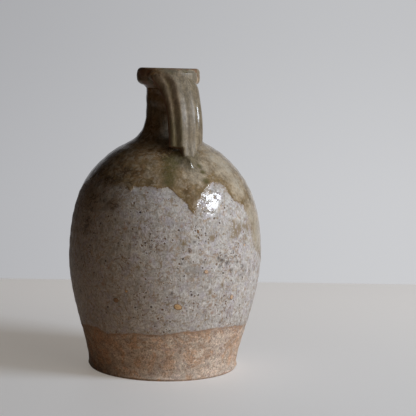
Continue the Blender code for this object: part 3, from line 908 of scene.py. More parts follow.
class Nodes:
    """Short ways to add nodes to a material or a node group and to join them."""

    def __init__(self, tree):
        self.tree = tree

    def feed(self, socket, value):
        if isinstance(value, bpy.types.NodeSocket):
            self.tree.links.new(value, socket)
        elif socket.type == "RGBA":
            socket.default_value = (*value[:3], 1)
        else:
            socket.default_value = value

    def add(self, kind, sockets=None, **choices):
        node = self.tree.nodes.new("ShaderNode" + kind)
        for name, value in choices.items():
            setattr(node, name, value)
        for name, value in (sockets or {}).items():
            self.feed(node.inputs[name], value)
        return node

    def maths(self, operation, first, second=0.0):
        return self.add("Math", {0: first, 1: second}, operation=operation).outputs[0]

    def times(self, first, second):
        return self.maths("MULTIPLY", first, second)

    def plus(self, first, second):
        return self.maths("ADD", first, second)

    def most(self, first, second):
        return self.maths("MAXIMUM", first, second)

    def mixed(self, *parts):
        """The sum of several values, each with its own weight."""
        total = self.times(*parts[0])
        for value, weight in parts[1:]:
            total = self.plus(total, self.times(value, weight))
        return total

    def blend(self, share, first, second):
        """A colour between two others."""
        return self.add("Mix", {0: share, 6: first, 7: second}, data_type="RGBA").outputs[2]

    def between(self, share, first, second):
        """A value between two others."""
        return self.add("Mix", {0: share, 2: first, 3: second}).outputs[0]

    def shade(self, colour, share):
        """A colour made darker or lighter by a share."""
        grey = self.add("CombineColor", {0: share, 1: share, 2: share}).outputs[0]
        sockets = {0: 1.0, 6: colour, 7: grey}
        return self.add("Mix", sockets, data_type="RGBA", blend_type="MULTIPLY").outputs[2]

    def rise(self, value, low, high, first=0.0, last=1.0):
        """Goes smoothly from first to last as the value passes from low to high."""
        sockets = {0: value, 1: low, 2: high, 3: first, 4: last}
        return self.add("MapRange", sockets, interpolation_type="SMOOTHSTEP").outputs[0]

    def band(self, value, rise_from, rise_to, fall_from, fall_to):
        """1 between a rise and a fall of the value, 0 before and after."""
        start = self.rise(value, rise_from, rise_to)
        return self.times(start, self.rise(value, fall_from, fall_to, 1.0, 0.0))

    def dot(self, first, second):
        return self.add("VectorMath", {0: first, 1: second}, operation="DOT_PRODUCT").outputs["Value"]

    def place(self, stretch=(1, 1, 1)):
        """The place on the object, stretched along its axes."""
        where = self.add("TexCoord").outputs["Object"]
        if stretch == (1, 1, 1):
            return where
        return self.add("Mapping", {"Vector": where, "Scale": stretch}).outputs[0]

    def cloud(self, name):
        """The noise of a named cloud."""
        kind = CLOUDS[name]
        sockets = {"Vector": self.place(kind.stretch), "Scale": 1 / (kind.size * MM), "Detail": kind.detail}
        sockets |= {"Roughness": kind.roughness, "Distortion": kind.twist}
        return self.add("TexNoise", sockets).outputs[0]

    def patches(self, name, noise_value=None):
        """The mask of a named cloud, from its own noise or from a value made of it."""
        kind = CLOUDS[name]
        found = self.cloud(name) if noise_value is None else noise_value
        return self.rise(found, kind.low, kind.high, kind.first, kind.last)

    def value(self, name):
        """A value that the mesh keeps at its points."""
        return self.add("Attribute", attribute_name=name).outputs["Fac"]

    def marks(self, labels):
        """Values that the mesh keeps, by the labels of a group's inputs."""
        return {label: self.value(label.lower()) for label in labels}

    def group(self, name, sockets=None):
        """A shared effect, with its own values."""
        return self.add("Group", sockets, node_tree=bpy.data.node_groups[name]).outputs

    def scattered(self, name, spacing, share, size):
        """A shared effect that scatters marks."""
        return self.group(name, {"Per metre": 1 / spacing, "Share": share, "Size": size})

    def coated(self, colour, layers, given):
        """A colour with more coats over it."""
        for layer in layers:
            found = self.cloud(layer.cloud)
            if layer.more:
                found = self.plus(found, self.times(given[layer.more], layer.share))
            mask = self.patches(layer.cloud, found)
            if layer.within:
                mask = self.times(given[layer.within], mask)
            colour = self.blend(mask, colour, getattr(settings("jug_colours"), layer.colour))
        return colour


def effect(name, inputs, outputs, build):
    """A shared effect: a node group with named inputs and outputs, built once."""
    tree = bpy.data.node_groups.new(name, "ShaderNodeTree")
    for label, value in inputs.items():
        tree.interface.new_socket(label, in_out="INPUT", socket_type="NodeSocketFloat").default_value = value
    for label, kind in outputs.items():
        tree.interface.new_socket(label, in_out="OUTPUT", socket_type=f"NodeSocket{kind}")
    nodes = Nodes(tree)
    given = tree.nodes.new("NodeGroupInput")
    results = build(nodes, given.outputs)
    leave = tree.nodes.new("NodeGroupOutput")
    for label, value in results.items():
        nodes.feed(leave.inputs[label], value)


def ragged_edge(nodes, given):
    """A mask with a torn edge, from how far each point lies inside it."""
    fine, broad = (nodes.maths("SUBTRACT", nodes.cloud(name), 0.5) for name in ("edge_fine", "edge_broad"))
    torn = nodes.plus(nodes.times(fine, given["Tear"]), nodes.times(broad, given["Wander"]))
    depth = nodes.plus(given["Depth"], torn)
    half = given["Softness"]
    return {"Mask": nodes.rise(depth, nodes.times(half, -1.0), half), "Depth": depth}


def pin_pits(nodes, given):
    """Small burst bubbles: dark centres, their pale rims and a value that differs from pit to pit."""
    where = nodes.place()
    bends = nodes.add("TexNoise", {"Vector": where, "Scale": 1 / PIT_BEND_SIZE, "Detail": 1.0})
    sockets = {0: bends.outputs["Color"], 1: (0.5, 0.5, 0.5)}
    shift = nodes.add("VectorMath", sockets, operation="SUBTRACT").outputs[0]
    warp = nodes.add("VectorMath", {0: shift, "Scale": PIT_BEND}, operation="SCALE").outputs[0]
    bent_place = nodes.add("VectorMath", {0: where, 1: warp}, operation="ADD").outputs[0]
    found = nodes.add("TexVoronoi", {"Vector": bent_place, "Scale": given["Per metre"]})
    own = nodes.add("SeparateColor", {0: found.outputs["Color"]})
    chosen = nodes.maths("LESS_THAN", own.outputs[0], given["Share"])
    radius = nodes.times(given["Size"], nodes.rise(own.outputs[1], 0.0, 1.0, PIT_LEAST_SHARE, 1.0))
    near = nodes.maths("DIVIDE", found.outputs["Distance"], nodes.most(radius, LEAST_SIZE))
    centre = nodes.times(chosen, nodes.rise(near, *PIT_HOLLOW))
    return {"Centre": centre, "Rim": nodes.times(chosen, nodes.band(near, *PIT_RIM)), "Own": own.outputs[2]}


def craters(nodes, given):
    """Burst bubbles healed into round dishes with raised rims, as a height."""
    found = nodes.add("TexVoronoi", {"Vector": nodes.place(), "Scale": given["Per metre"]})
    own = nodes.add("SeparateColor", {0: found.outputs["Color"]})
    chosen = nodes.maths("LESS_THAN", own.outputs[0], given["Share"])
    near = nodes.maths("DIVIDE", found.outputs["Distance"], given["Size"])
    dish = nodes.times(nodes.rise(near, *DISH_RISE), nodes.rise(near, *DISH_END))
    return {"Height": nodes.times(chosen, dish)}


def ash_glaze(nodes, given):
    """The glossy olive ash glaze: cloudy beige and olive, streaked down the wall, green where it pools."""
    colours = settings("jug_colours")
    noises = {name: nodes.cloud(name) for name, _ in ASH_CLOUD_SHARES}
    clouds = [(noises[name], share) for name, share in ASH_CLOUD_SHARES]
    # The Brown mark pulls the glaze to olive and ochre and darkens it in blotches below; in part it is
    # painted shade, on the neck's left, round the strap's foot and on the strap's left side
    mixture = nodes.mixed(*clouds, *((given[label], share) for label, share in ASH_PULL_SHARES))
    colour = nodes.blend(nodes.rise(mixture, *BEIGE_RISE), colours.olive, colours.beige)
    pulls = ((given[label], share) for label, share in BROWNING_SHARES)
    browning = nodes.mixed((nodes.cloud("browning"), 1.0), *pulls)
    colour = nodes.blend(nodes.patches("browning", browning), colour, colours.ochre_brown)
    ochre = nodes.times(given["Run"], nodes.rise(mixture, *OCHRE_RISE))
    ochre = nodes.times(ochre, nodes.rise(given["Beige"], *OCHRE_LEFT))
    colour = nodes.blend(ochre, colour, colours.run_ochre)
    colour = nodes.blend(nodes.times(given["Sage"], nodes.rise(mixture, *SAGE_RISE)), colour, colours.sage)

    plain = nodes.rise(given["Sage"], *PLAIN_LEFT)
    swing = nodes.plus(nodes.patches("swing"), nodes.times(nodes.patches("blotch"), given["Brown"]))
    colour = nodes.shade(colour, nodes.plus(nodes.times(swing, plain), 1.0))
    paling = nodes.times(nodes.patches("paling"), plain)
    paling = nodes.times(paling, nodes.rise(given["Brown"], *BROWN_RISE))
    colour = nodes.blend(paling, colour, colours.beige)
    # The Milky mark is painted light: a paler milky glaze for light through the gap behind the strap on the
    # neck, and for sheen on the shoulder's right
    colour = nodes.blend(nodes.times(given["Milky"], nodes.patches("milk")), colour, colours.milky)
    # The Pool mark turns the glaze dark green where it pooled, and is also painted shade left of the strap's
    # foot, in the slip's crease and on the strap's lower left
    colour = nodes.blend(nodes.times(given["Pool"], nodes.patches("dregs")), colour, colours.green_pool)
    streaks = nodes.times(nodes.patches("streaks"), nodes.rise(given["Sage"], *STREAK_RISE))
    colour = nodes.shade(colour, nodes.plus(streaks, 1.0))
    # The Thin mark turns edges burnt brown; on the strap's left side and under the collar's lower edge it is
    # also painted shade
    colour = nodes.blend(given["Thin"], colour, colours.burnt_edge)
    colour = nodes.shade(colour, nodes.patches("ash_grain"))
    specks = nodes.scattered("pin_pits", *IRON_SPECKS)["Centre"]
    colour = nodes.blend(nodes.times(specks, SPECK_SHARE), colour, colours.iron)

    height = nodes.mixed((nodes.cloud("peel"), PEEL_SHARE), (specks, SPECK_DEPTH))
    rough = nodes.between(given["Dull"], nodes.patches("curdle", noises["curdle"]), DULL_ROUGHNESS)
    rough = nodes.between(given["Thin"], rough, THIN_ROUGHNESS)
    return {"Color": colour, "Roughness": rough, "Height": height}


def grey_glaze(nodes, given):
    """The satin grey glaze: a curdled grain with pale flecks, brown pits, stains and upright streaks."""
    colours = settings("jug_colours")
    curd = nodes.cloud("curd")
    colour = nodes.blend(nodes.patches("tone"), colours.grey_dark, colours.grey)
    colour = nodes.coated(colour, GREY_UNDER, given)
    colour = nodes.shade(colour, nodes.patches("curd", curd))
    colour = nodes.coated(colour, GREY_OVER, given)

    clusters = nodes.times(given["Pitting"], PIT_CLUSTER_SHARE)
    share = nodes.plus(PIT_LEAST, nodes.plus(nodes.patches("crowds"), clusters))
    small = nodes.scattered("pin_pits", SMALL_PITS[0], share, SMALL_PITS[1])
    large = nodes.scattered("pin_pits", LARGE_PITS[0], nodes.times(share, PIT_LARGE_SHARE), LARGE_PITS[1])
    hollows, rims = (nodes.most(small[part], large[part]) for part in ("Centre", "Rim"))
    pit_colour = nodes.blend(nodes.rise(small["Own"], *PIT_COLOUR_RISE), colours.pit_dark, colours.pit_brown)
    colour = nodes.blend(nodes.times(rims, PIT_RIM_SHARE), colour, colours.grey_pale)
    colour = nodes.blend(nodes.times(hollows, PIT_CENTRE_SHARE), colour, pit_colour)

    grain = nodes.mixed((curd, CURD_RELIEF), (hollows, PIT_RELIEF), (rims, RIM_RELIEF))
    burst = nodes.scattered("craters", *BURST_BUBBLES)["Height"]
    wavy = nodes.mixed((burst, BURST_RELIEF), (nodes.cloud("ripple"), RIPPLE_RELIEF))
    wavy = nodes.times(wavy, nodes.rise(given["Calm"], *CALM_RISE))
    satin = nodes.rise(curd, *SATIN_RISE)
    rough = nodes.between(nodes.rise(given["Wet"], *WET_RISE), satin, WET_ROUGHNESS)
    return {"Color": colour, "Roughness": rough, "Height": nodes.between(given["Wet"], grain, wavy)}


def bare_clay(nodes, given):
    """Unglazed clay at the foot: buff and terracotta in patches, a pale bloom and turning marks."""
    colours = settings("jug_colours")
    colour = nodes.blend(nodes.patches("flashes"), colours.clay_buff, colours.clay_red)
    colour = nodes.blend(nodes.times(given["Rust"], RUST_SHARE), colour, colours.clay_red)
    colour = nodes.coated(colour, CLAY_BLOOMS, given)
    colour = nodes.shade(colour, nodes.patches("clay_tone"))
    colour = nodes.coated(colour, CLAY_GRIME, given)
    grit = nodes.cloud("clay_grit")
    colour = nodes.shade(colour, nodes.patches("clay_grit", grit))
    height = nodes.mixed((grit, GRIT_RELIEF), (nodes.cloud("turning"), TURNING_RELIEF))
    return {"Color": colour, "Height": height}


SCATTERED = {"Per metre": 300.0, "Share": 0.3, "Size": 0.2}
FINISH = {"Color": "Color", "Roughness": "Float", "Height": "Float"}
TORN = {"Depth": 0.0, "Tear": 1.0, "Wander": 1.0, "Softness": 0.3}
EFFECTS = (
    (ragged_edge, TORN, {"Mask": "Float", "Depth": "Float"}),
    (pin_pits, SCATTERED, {"Centre": "Float", "Rim": "Float", "Own": "Float"}),
    (craters, SCATTERED, {"Height": "Float"}),
    (ash_glaze, dict.fromkeys((*ASH_MARKS, "Run"), 0.0), FINISH),
    (grey_glaze, dict.fromkeys(GREY_MARKS, 0.0), FINISH),
    (bare_clay, dict.fromkeys(CLAY_MARKS, 0.0), {"Color": "Color", "Height": "Float"}),
)


def shared_effects():
    """Builds the effects that the materials share."""
    for build, inputs, outputs in EFFECTS:
        effect(build.__name__, inputs, outputs, build)


def new_material(name):
    """An empty material with its Principled shader and its output."""
    material = bpy.data.materials.new(name)
    material.use_nodes = True
    material.node_tree.nodes.clear()
    nodes = Nodes(material.node_tree)
    shader = nodes.add("BsdfPrincipled")
    nodes.add("OutputMaterial", {"Surface": shader.outputs[0]})
    shader.inputs["IOR"].default_value = GLAZE_IOR
    shader.inputs["Specular IOR Level"].default_value = GLAZE_SPECULAR
    return material, nodes, shader


def relief(nodes, shader, height):
    """Fine relief below the size of the mesh's faces."""
    bump = nodes.add("Bump", {"Height": height, "Strength": 1.0, "Distance": RELIEF_DEPTH})
    nodes.feed(shader.inputs["Normal"], bump.outputs[0])


def vessel_material():
    """Grey glaze over the body, ash glaze over the shoulder and neck, and bare clay at the foot."""
    colours = settings("jug_colours")
    material, nodes, shader = new_material("fired_vessel")
    soft, burnt_and_shadow = nodes.value("soft"), nodes.value("burnt_and_shadow")
    edge = {label: nodes.between(soft, *ends) for label, ends in GLOSS_EDGE.items()}
    gloss = nodes.group("ragged_edge", {"Depth": nodes.value("gloss_edge"), **edge})
    bare = nodes.group("ragged_edge", {"Depth": nodes.value("bare_edge"), **FOOT_EDGE})
    run = nodes.rise(gloss["Depth"], *RUN_FALL)
    ash = nodes.group("ash_glaze", {**nodes.marks(ASH_MARKS), "Run": run})
    grey = nodes.group("grey_glaze", nodes.marks(GREY_MARKS))
    clay = nodes.group("bare_clay", nodes.marks(CLAY_MARKS))

    lip = nodes.times(nodes.band(gloss["Depth"], *LIP_BAND), nodes.between(soft, LIP_SHARE, 0.0))
    ash_colour = nodes.blend(lip, ash["Color"], colours.lip_brown)
    near_ash = nodes.times(nodes.rise(gloss["Depth"], *NEAR_ASH_RISE), NEAR_ASH_SHARE)
    grey_colour = nodes.blend(near_ash, grey["Color"], colours.tan_stain)
    # The burnt marks stain the grey glaze tan and char both glazes dark; at the far left and round the
    # strap's foot this is painted shade
    grey_colour = nodes.blend(nodes.times(burnt_and_shadow, nodes.patches("staining")), grey_colour, colours.tan_stain)
    colour = nodes.blend(gloss["Mask"], grey_colour, ash_colour)
    colour = nodes.blend(nodes.times(burnt_and_shadow, nodes.patches("burning")), colour, colours.pit_dark)
    colour = nodes.blend(bare["Mask"], colour, clay["Color"])
    foot_lip = nodes.times(nodes.band(bare["Depth"], *FOOT_BAND), FOOT_LIP_SHARE)
    nodes.feed(shader.inputs["Base Color"], nodes.blend(foot_lip, colour, colours.foot_lip))

    rough = nodes.between(gloss["Mask"], grey["Roughness"], ash["Roughness"])
    nodes.feed(shader.inputs["Roughness"], nodes.between(bare["Mask"], rough, CLAY_ROUGHNESS))
    height = nodes.between(gloss["Mask"], grey["Height"], nodes.plus(ash["Height"], ASH_STEP))
    relief(nodes, shader, nodes.between(bare["Mask"], height, nodes.plus(clay["Height"], CLAY_STEP)))
    return material


def gloss_material(name):
    """The ash glaze alone, as on the collar, the strap and the slip round them, chipped to bare clay."""
    material, nodes, shader = new_material(name)
    ash = nodes.group("ash_glaze", nodes.marks(ASH_MARKS))
    chip = nodes.value("chip")
    colour = nodes.blend(chip, ash["Color"], settings("jug_colours").clay_red)
    nodes.feed(shader.inputs["Base Color"], colour)
    nodes.feed(shader.inputs["Roughness"], nodes.between(chip, ash["Roughness"], CLAY_ROUGHNESS))
    relief(nodes, shader, ash["Height"])
    return material


def grit_material(name, colour):
    """Fired grit of one clay: a darker rim and a gritty face."""
    material, nodes, shader = new_material(name)
    grit = nodes.cloud("grit")
    body = nodes.shade(colour, nodes.patches("grit", grit))
    rim = nodes.times(nodes.value("rim"), GRIT_RIM_DARKNESS)
    nodes.feed(shader.inputs["Base Color"], nodes.blend(rim, body, settings("jug_colours").pit_dark))
    shader.inputs["Roughness"].default_value = GRIT_ROUGHNESS
    relief(nodes, shader, grit)
    return material


def strap_path(strap, collar, vessel, steps):
    """The strap's middle line from inside the collar to the tip of its tail, in radius and height."""
    start = np.array((collar.radius - strap.top_depth, collar.height - strap.top_drop))
    shoulder = np.array((vessel.shoulder_radius, vessel.belly_height + vessel.shoulder_rise))
    bend = shoulder + (-strap.bend_draw, strap.bend_rise)
    fall = start - bend
    leave = start - fall * STRAP_LEAVE_SHARES
    upper = cubic(start, leave, bend + (0, fall[1] * STRAP_BEND_SHARE), bend, steps)
    down = -shoulder_direction(vessel)
    out = np.array((-down[1], down[0]))
    tip = shoulder + down * strap.tail - out * strap.tail_depth
    arrive = tip - down * strap.tail * STRAP_LAND_SHARE
    low = cubic(bend, bend - (0, strap.bend_rise * STRAP_FALL_SHARE), arrive, tip, steps // 2)
    return joined(upper, low)


def share_along(table, places, blur=SHARE_BLUR):
    """A table's shares at places along its piece, without corners between its entries."""
    knots, shares = np.array(table).T
    nearby = np.linspace(-blur, blur, BLUR_SAMPLES)
    return np.mean([np.interp(places + step, knots, shares) for step in nearby], axis=0)


def ridge_at(across, place):
    """The height of the strap's ridges at places from edge to edge, in ridge heights."""
    high, low, heights = np.array(RIDGE_SHARES).T
    knots = high + (low - high) * smooth(place / RIDGE_SPREAD_PLACE)
    nearby = np.linspace(-RIDGE_BLUR, RIDGE_BLUR, BLUR_SAMPLES)
    return np.mean([np.interp(across + step, knots, heights) for step in nearby], axis=0)


def strap_rings(strap, collar, vessel):
    """Rings of points down the strap, and at each how pooled, thin, brown and dull its glaze is; on its left
    side the thin, brown and pooled marks are partly painted shade.
    """
    path = resampled(strap_path(strap, collar, vessel, PATH_STEPS), PATH_STEP)
    path = resampled(path, lengths_along(path)[-1] / STRAP_RINGS)
    places = lengths_along(path) / lengths_along(path)[-1]
    along = np.gradient(path, axis=0)
    along /= np.linalg.norm(along, axis=1)[:, None]
    out = np.stack([-along[:, 1], along[:, 0]], 1)
    widths = strap.width * share_along(STRAP_WIDTH_SHARES, places)
    left_side, right_side = (
        share_along([(row[0], row[side]) for row in TONGUE_SHARES], places, TONGUE_BLUR) for side in (1, 2)
    )
    thick_shares = share_along(STRAP_THICKNESS_SHARES, places)
    bows = share_along(STRAP_BOW_SHARES, places) * (widths / 2) ** 2 / (2 * collar.radius)
    u = np.linspace(-1, 1, FACE_STEPS + 1)
    face = (1 - EDGE_CROWD_SHARE) * u + EDGE_CROWD_SHARE * np.sin(u * math.pi / 2)
    back = np.linspace(1, -1, BACK_STEPS + 1)[1:-1]
    face_edge = (1 - np.abs(face) ** FACE_SQUARENESS) ** 0.5
    back_edge = (1 - np.abs(back) ** BACK_SQUARENESS) ** 0.5
    across = np.concatenate([face, back])
    edges = np.concatenate([
        smooth((np.abs(face) - FACE_EDGE_SHARE) / (1 - FACE_EDGE_SHARE)),
        smooth((np.abs(back) - BACK_EDGE_SHARE) / (1 - BACK_EDGE_SHARE)),
    ])
    rings, pools, thins, browns, dulls = [], [], [], [], []
    for i, place in enumerate(places):
        thickness = strap.thickness * thick_shares[i]
        fade = smooth(place / RIDGE_START_PLACE) * smooth((1 - place) / RIDGE_END_SHARE)
        narrowed = across * np.where(across < 0, left_side[i], right_side[i])
        ridges = ridge_at(narrowed[: len(face)], place)
        face_out = (thickness / 2 + strap.ridge_height * (ridges * fade + RIDGE_BASE_SHARE)) * face_edge
        outward = np.concatenate([face_out, -thickness / 2 * back_edge]) - bows[i] * narrowed**2
        x = path[i, 0] + out[i, 0] * outward
        z = path[i, 1] + out[i, 1] * outward
        lean = strap.tongue_lean * smooth((place - TONGUE_LEAN_PLACE) / (1 - TONGUE_LEAN_PLACE))
        lean += strap.aside + strap.top_lean * (1 - smooth(place / TOP_LEAN_PLACE))
        rings.append(np.stack([x, narrowed * widths[i] / 2 + lean, z], 1))

        # The left side is partly burnt brown and partly painted shade where the strap turns from the light;
        # lower down the same painted shade goes in as pooled glaze
        side = smooth((SIDE_START - narrowed) / SIDE_FADE)
        side = side * (SIDE_TOP_SHARE + (1 - SIDE_TOP_SHARE) * smooth((place - SIDE_FROM) / SIDE_SPAN))
        sunk = smooth((place - SUNK_FROM) / SUNK_SPAN)
        grooves = smooth(POOL_LEVEL - ridges * POOL_GAIN) * fade
        pooled = np.concatenate([grooves, np.full(len(back), BACK_POOL)])
        pools.append(np.maximum(pooled, SIDE_POOL_AND_SHADE * side * sunk))
        thins.append(np.maximum(edges, BURNT_AND_SHADED_SIDE * side * (1 - sunk)))
        browns.append(side)
        dulls.append(smooth((DULL_TO - narrowed) / DULL_FADE) * STRAP_DULL)
    marks = {"pool": pools, "thin": thins, "brown": browns, "dull": dulls}
    return np.array(rings), {name: np.array(values) for name, values in marks.items()}


def rolled_tube(name, rings, values):
    """A closed tube through rings of points: a grid that is rolled up, and filled at both ends."""
    count, around = rings.shape[:2]
    form = bmesh.new()
    bmesh.ops.create_grid(form, x_segments=count - 1, y_segments=around, size=1)
    layers = {label: form.verts.layers.float.new(label) for label in values}
    for vert in form.verts:
        i = round((vert.co.x + 1) / 2 * (count - 1))
        j = round((vert.co.y + 1) / 2 * around) % around
        vert.co = rings[i, j]
        for label, layer in layers.items():
            vert[layer] = values[label][i, j]
    bmesh.ops.remove_doubles(form, verts=form.verts, dist=OUTLINE_STEP / 1000)
    bmesh.ops.holes_fill(form, edges=[e for e in form.edges if e.is_boundary], sides=0)
    return finished(name, form)


def slip_patch(name, surface, bounds, lift_at, sunk):
    """Slip smeared over a round patch of a surface: a grid laid on it, lifted, and closed underneath."""
    (low_angle, high_angle), (low_length, high_length) = bounds
    form = bmesh.new()
    bmesh.ops.create_grid(form, x_segments=PATCH_STEPS, y_segments=PATCH_STEPS, size=1)
    flat = np.array([v.co[:2] for v in form.verts])
    disc = flat * np.sqrt(1 - flat[:, ::-1] ** 2 / 2)
    azimuths = low_angle + (high_angle - low_angle) * (disc[:, 0] + 1) / 2
    lengths = low_length + (high_length - low_length) * (disc[:, 1] + 1) / 2
    rest = surface.place(azimuths, lengths)
    lifts = lift_at(rest)
    edge = smooth((1 - np.hypot(*disc.T)) / SLIP_EDGE_SHARE)
    top = surface.place(azimuths, lengths, lifts - sunk * (1 - edge))
    for vert, point in zip(form.verts, top):
        vert.co = point
    under = bmesh.ops.extrude_face_region(form, geom=form.faces[:])
    lowered = [g for g in under["geom"] if isinstance(g, bmesh.types.BMVert)]
    for vert, place, length in zip(lowered, azimuths, lengths):
        vert.co = surface.place(np.array(place), np.array(length), -sunk * SLIP_UNDER_SHARE)
    return finished(name, form)


class Footing:
    """Where the strap stands on a surface, and the fillet of slip that rises to it."""

    def __init__(self, surface, rings, height, reach):
        self.surface, self.height, self.reach = surface, height, reach
        middle = rings.mean(axis=1)
        radii = np.interp(middle[:, 2], surface.heights, surface.radii)
        near = np.abs(np.hypot(middle[:, 0], middle[:, 1]) - radii) < FOOTING_DEPTH
        lengths = np.interp(middle[near, 2], surface.heights, surface.lengths)
        order = np.argsort(lengths)
        self.lengths = lengths[order]
        self.lows, self.highs = (end(rings[near, :, 1], axis=1)[order] for end in (np.min, np.max))

    def bounds(self, radius):
        """The angles and the places along the outline between which the slip lies."""
        angles = (self.lows.min() - self.reach) / radius, (self.highs.max() + self.reach) / radius
        return angles, (self.lengths[0] - self.reach, self.lengths[-1] + self.reach)

    def lift(self, points):
        """How far the fillet stands out at each point, full under the strap and fading away from it."""
        _, lengths = self.surface.measure(points)
        nearest = np.clip(lengths, self.lengths[0], self.lengths[-1])
        low, high = (np.interp(nearest, self.lengths, side) for side in (self.lows, self.highs))
        beside = np.maximum(low - points[:, 1], points[:, 1] - high)
        away = np.hypot(np.maximum(0, beside + self.reach * SLIP_TUCK_SHARE), lengths - nearest)
        return self.height * np.clip(1 - away / self.reach, 0, 1) ** 2


def grit_mesh(name, wall, places):
    """Grit of one clay set in the wall: balls pressed flat, each with a lumpy outline of its own."""
    whole = bmesh.new()
    rim_layer = whole.verts.layers.float.new("rim")
    for column, row, long_half, short_half, turn in places:
        azimuth, length = wall.surface.seen((column, row))
        centre = wall.surface.place(np.array(azimuth), np.array(length))
        lift = wall.lift(centre[None], wall.marks(centre[None]))[0] + GRIT_LIFT
        out = wall.surface.place(np.array(azimuth), np.array(length), 1.0) - centre
        out = Vector(out).normalized()
        around = Vector((-math.sin(azimuth), math.cos(azimuth), 0))
        turned_by = Matrix.Rotation(math.radians(turn), 3, out)
        axes = Matrix((turned_by @ around, turned_by @ out.cross(around), out)).transposed()
        seed = Vector((column, column, column))
        ball = bmesh.ops.create_uvsphere(whole, u_segments=GRIT_SIDES, v_segments=GRIT_RINGS, radius=1)
        for vert in ball["verts"]:
            x, y, z = vert.co
            rim = smooth((math.hypot(x, y) - GRIT_RIM_SHARE) / GRIT_RIM_FADE)
            vert[rim_layer] = float(rim) if z > 0 else 1.0
            lump = 1 + GRIT_LUMP_SHARE * noise.noise(vert.co * GRIT_LUMP_SIZE + seed)
            flat = Vector((x * long_half * lump, y * short_half * lump, z * short_half * GRIT_RISE_SHARE))
            vert.co = Vector(centre) + out * lift + axes @ (flat * MM)
    return finished(name, whole)


def length(name, value, note):
    """A size that can be set, in metres."""
    return bpy.props.FloatProperty(
        name=name, description=note, default=value, precision=5, subtype="DISTANCE", unit="LENGTH"
    )


def angle(name, degrees, note):
    """An angle that can be set, in degrees."""
    return bpy.props.FloatProperty(
        name=name, description=note, default=math.radians(degrees), subtype="ANGLE", unit="ROTATION"
    )


def amount(name, value, note):
    """A plain number that can be set."""
    return bpy.props.FloatProperty(name=name, description=note, default=value)


def colour(name, value, note):
    """A linear colour that can be set."""
    return bpy.props.FloatVectorProperty(
        name=name, description=note, default=value, size=3, min=0, max=1, subtype="COLOR"
    )


class JugVesselSizes(bpy.types.PropertyGroup):
    height: length("Height", CAD_HIGH.z, "From the table to the rim")
    foot_radius: length("Foot radius", 68.9 * MM, "Half the width of the foot")
    foot_chamfer: length("Foot chamfer", 2.0 * MM, "The worn edge of the foot")
    belly_radius: length("Belly radius", CAD_HIGH.y, "Half the greatest width")
    belly_height: length("Belly height", 100.3 * MM, "Where the vessel is widest")
    shoulder_radius: length("Shoulder radius", 53.4 * MM, "Half width where the neck's flare starts")
    shoulder_rise: length("Shoulder rise", 91.3 * MM, "From the belly up to the shoulder")
    shoulder_pitch: angle("Shoulder pitch", 42.3, "Slope of the shoulder where the flare starts")
    neck_radius: length("Neck radius", 19.8 * MM, "Half the neck's width")
    neck_rise: length("Neck rise", 40.6 * MM, "From the shoulder to the neck's waist")
    wall: length("Wall", 6.5 * MM, "Thickness of the thrown wall")
    neck_wall: length("Neck wall", 5.4 * MM, "Thickness of the neck's wall")
    floor: length("Floor", 8.0 * MM, "Thickness of the floor")
    floor_corner: length("Floor corner", 10.0 * MM, "Rounding between the floor and the wall inside")
    mouth_rounding: length("Mouth rounding", 2.2 * MM, "Rounding of the neck's inner edge")
    ring_height: length("Throwing rings", 0.16 * MM, "How far the throwing rings stand out")
    ring_spacing: length("Ring spacing", 11.0 * MM, "From one throwing ring to the next")
    wobble: length("Wobble", 0.45 * MM, "How far the wall wanders from a true round")
    lumps: length("Lumps", 0.13 * MM, "Unevenness that a finger feels")
    glaze_thickness: length("Glaze thickness", 0.30 * MM, "The step at the glazes' edges")
    bead: length("Bead", 0.09 * MM, "The thick roll at the lower edge of the ash glaze")
    pit_depth: length("Pit depth", 0.50 * MM, "Depth of the burst bubbles where they crowd")
    allowance: length("Allowance", 1.0 * MM, "How far the plain wall stays inside the jug's greatest size")


class JugCollarSizes(bpy.types.PropertyGroup):
    height: length("Height", COLLAR_HIGH.z, "The collar's top")
    radius: length("Radius", COLLAR_HIGH.y, "Half the collar's width")
    base: length("Base", 254.8 * MM, "Height of the collar's lower edge")
    undercut: length("Undercut", 2.8 * MM, "How far the lower face falls towards the neck")
    foot_rounding: length("Foot rounding", 4.5 * MM, "Rounding of the lower edge")
    top_rounding: length("Top rounding", 2.6 * MM, "Rounding of the upper edge")
    lip_rounding: length("Lip rounding", 1.6 * MM, "Rounding of the mouth's edge")
    neck_radius: length("Neck radius", 19.8 * MM, "Half the width of the neck inside it")
    mouth_radius: length("Mouth radius", 14.5 * MM, "Half the width of the mouth")
    bulge: length("Bulge", 1.3 * MM, "How far its side swells at half height")
    bite: length("Bite", 0.4 * MM, "How far it is pressed into the neck")
    waviness: length("Waviness", 0.45 * MM, "How uneven its edges are")


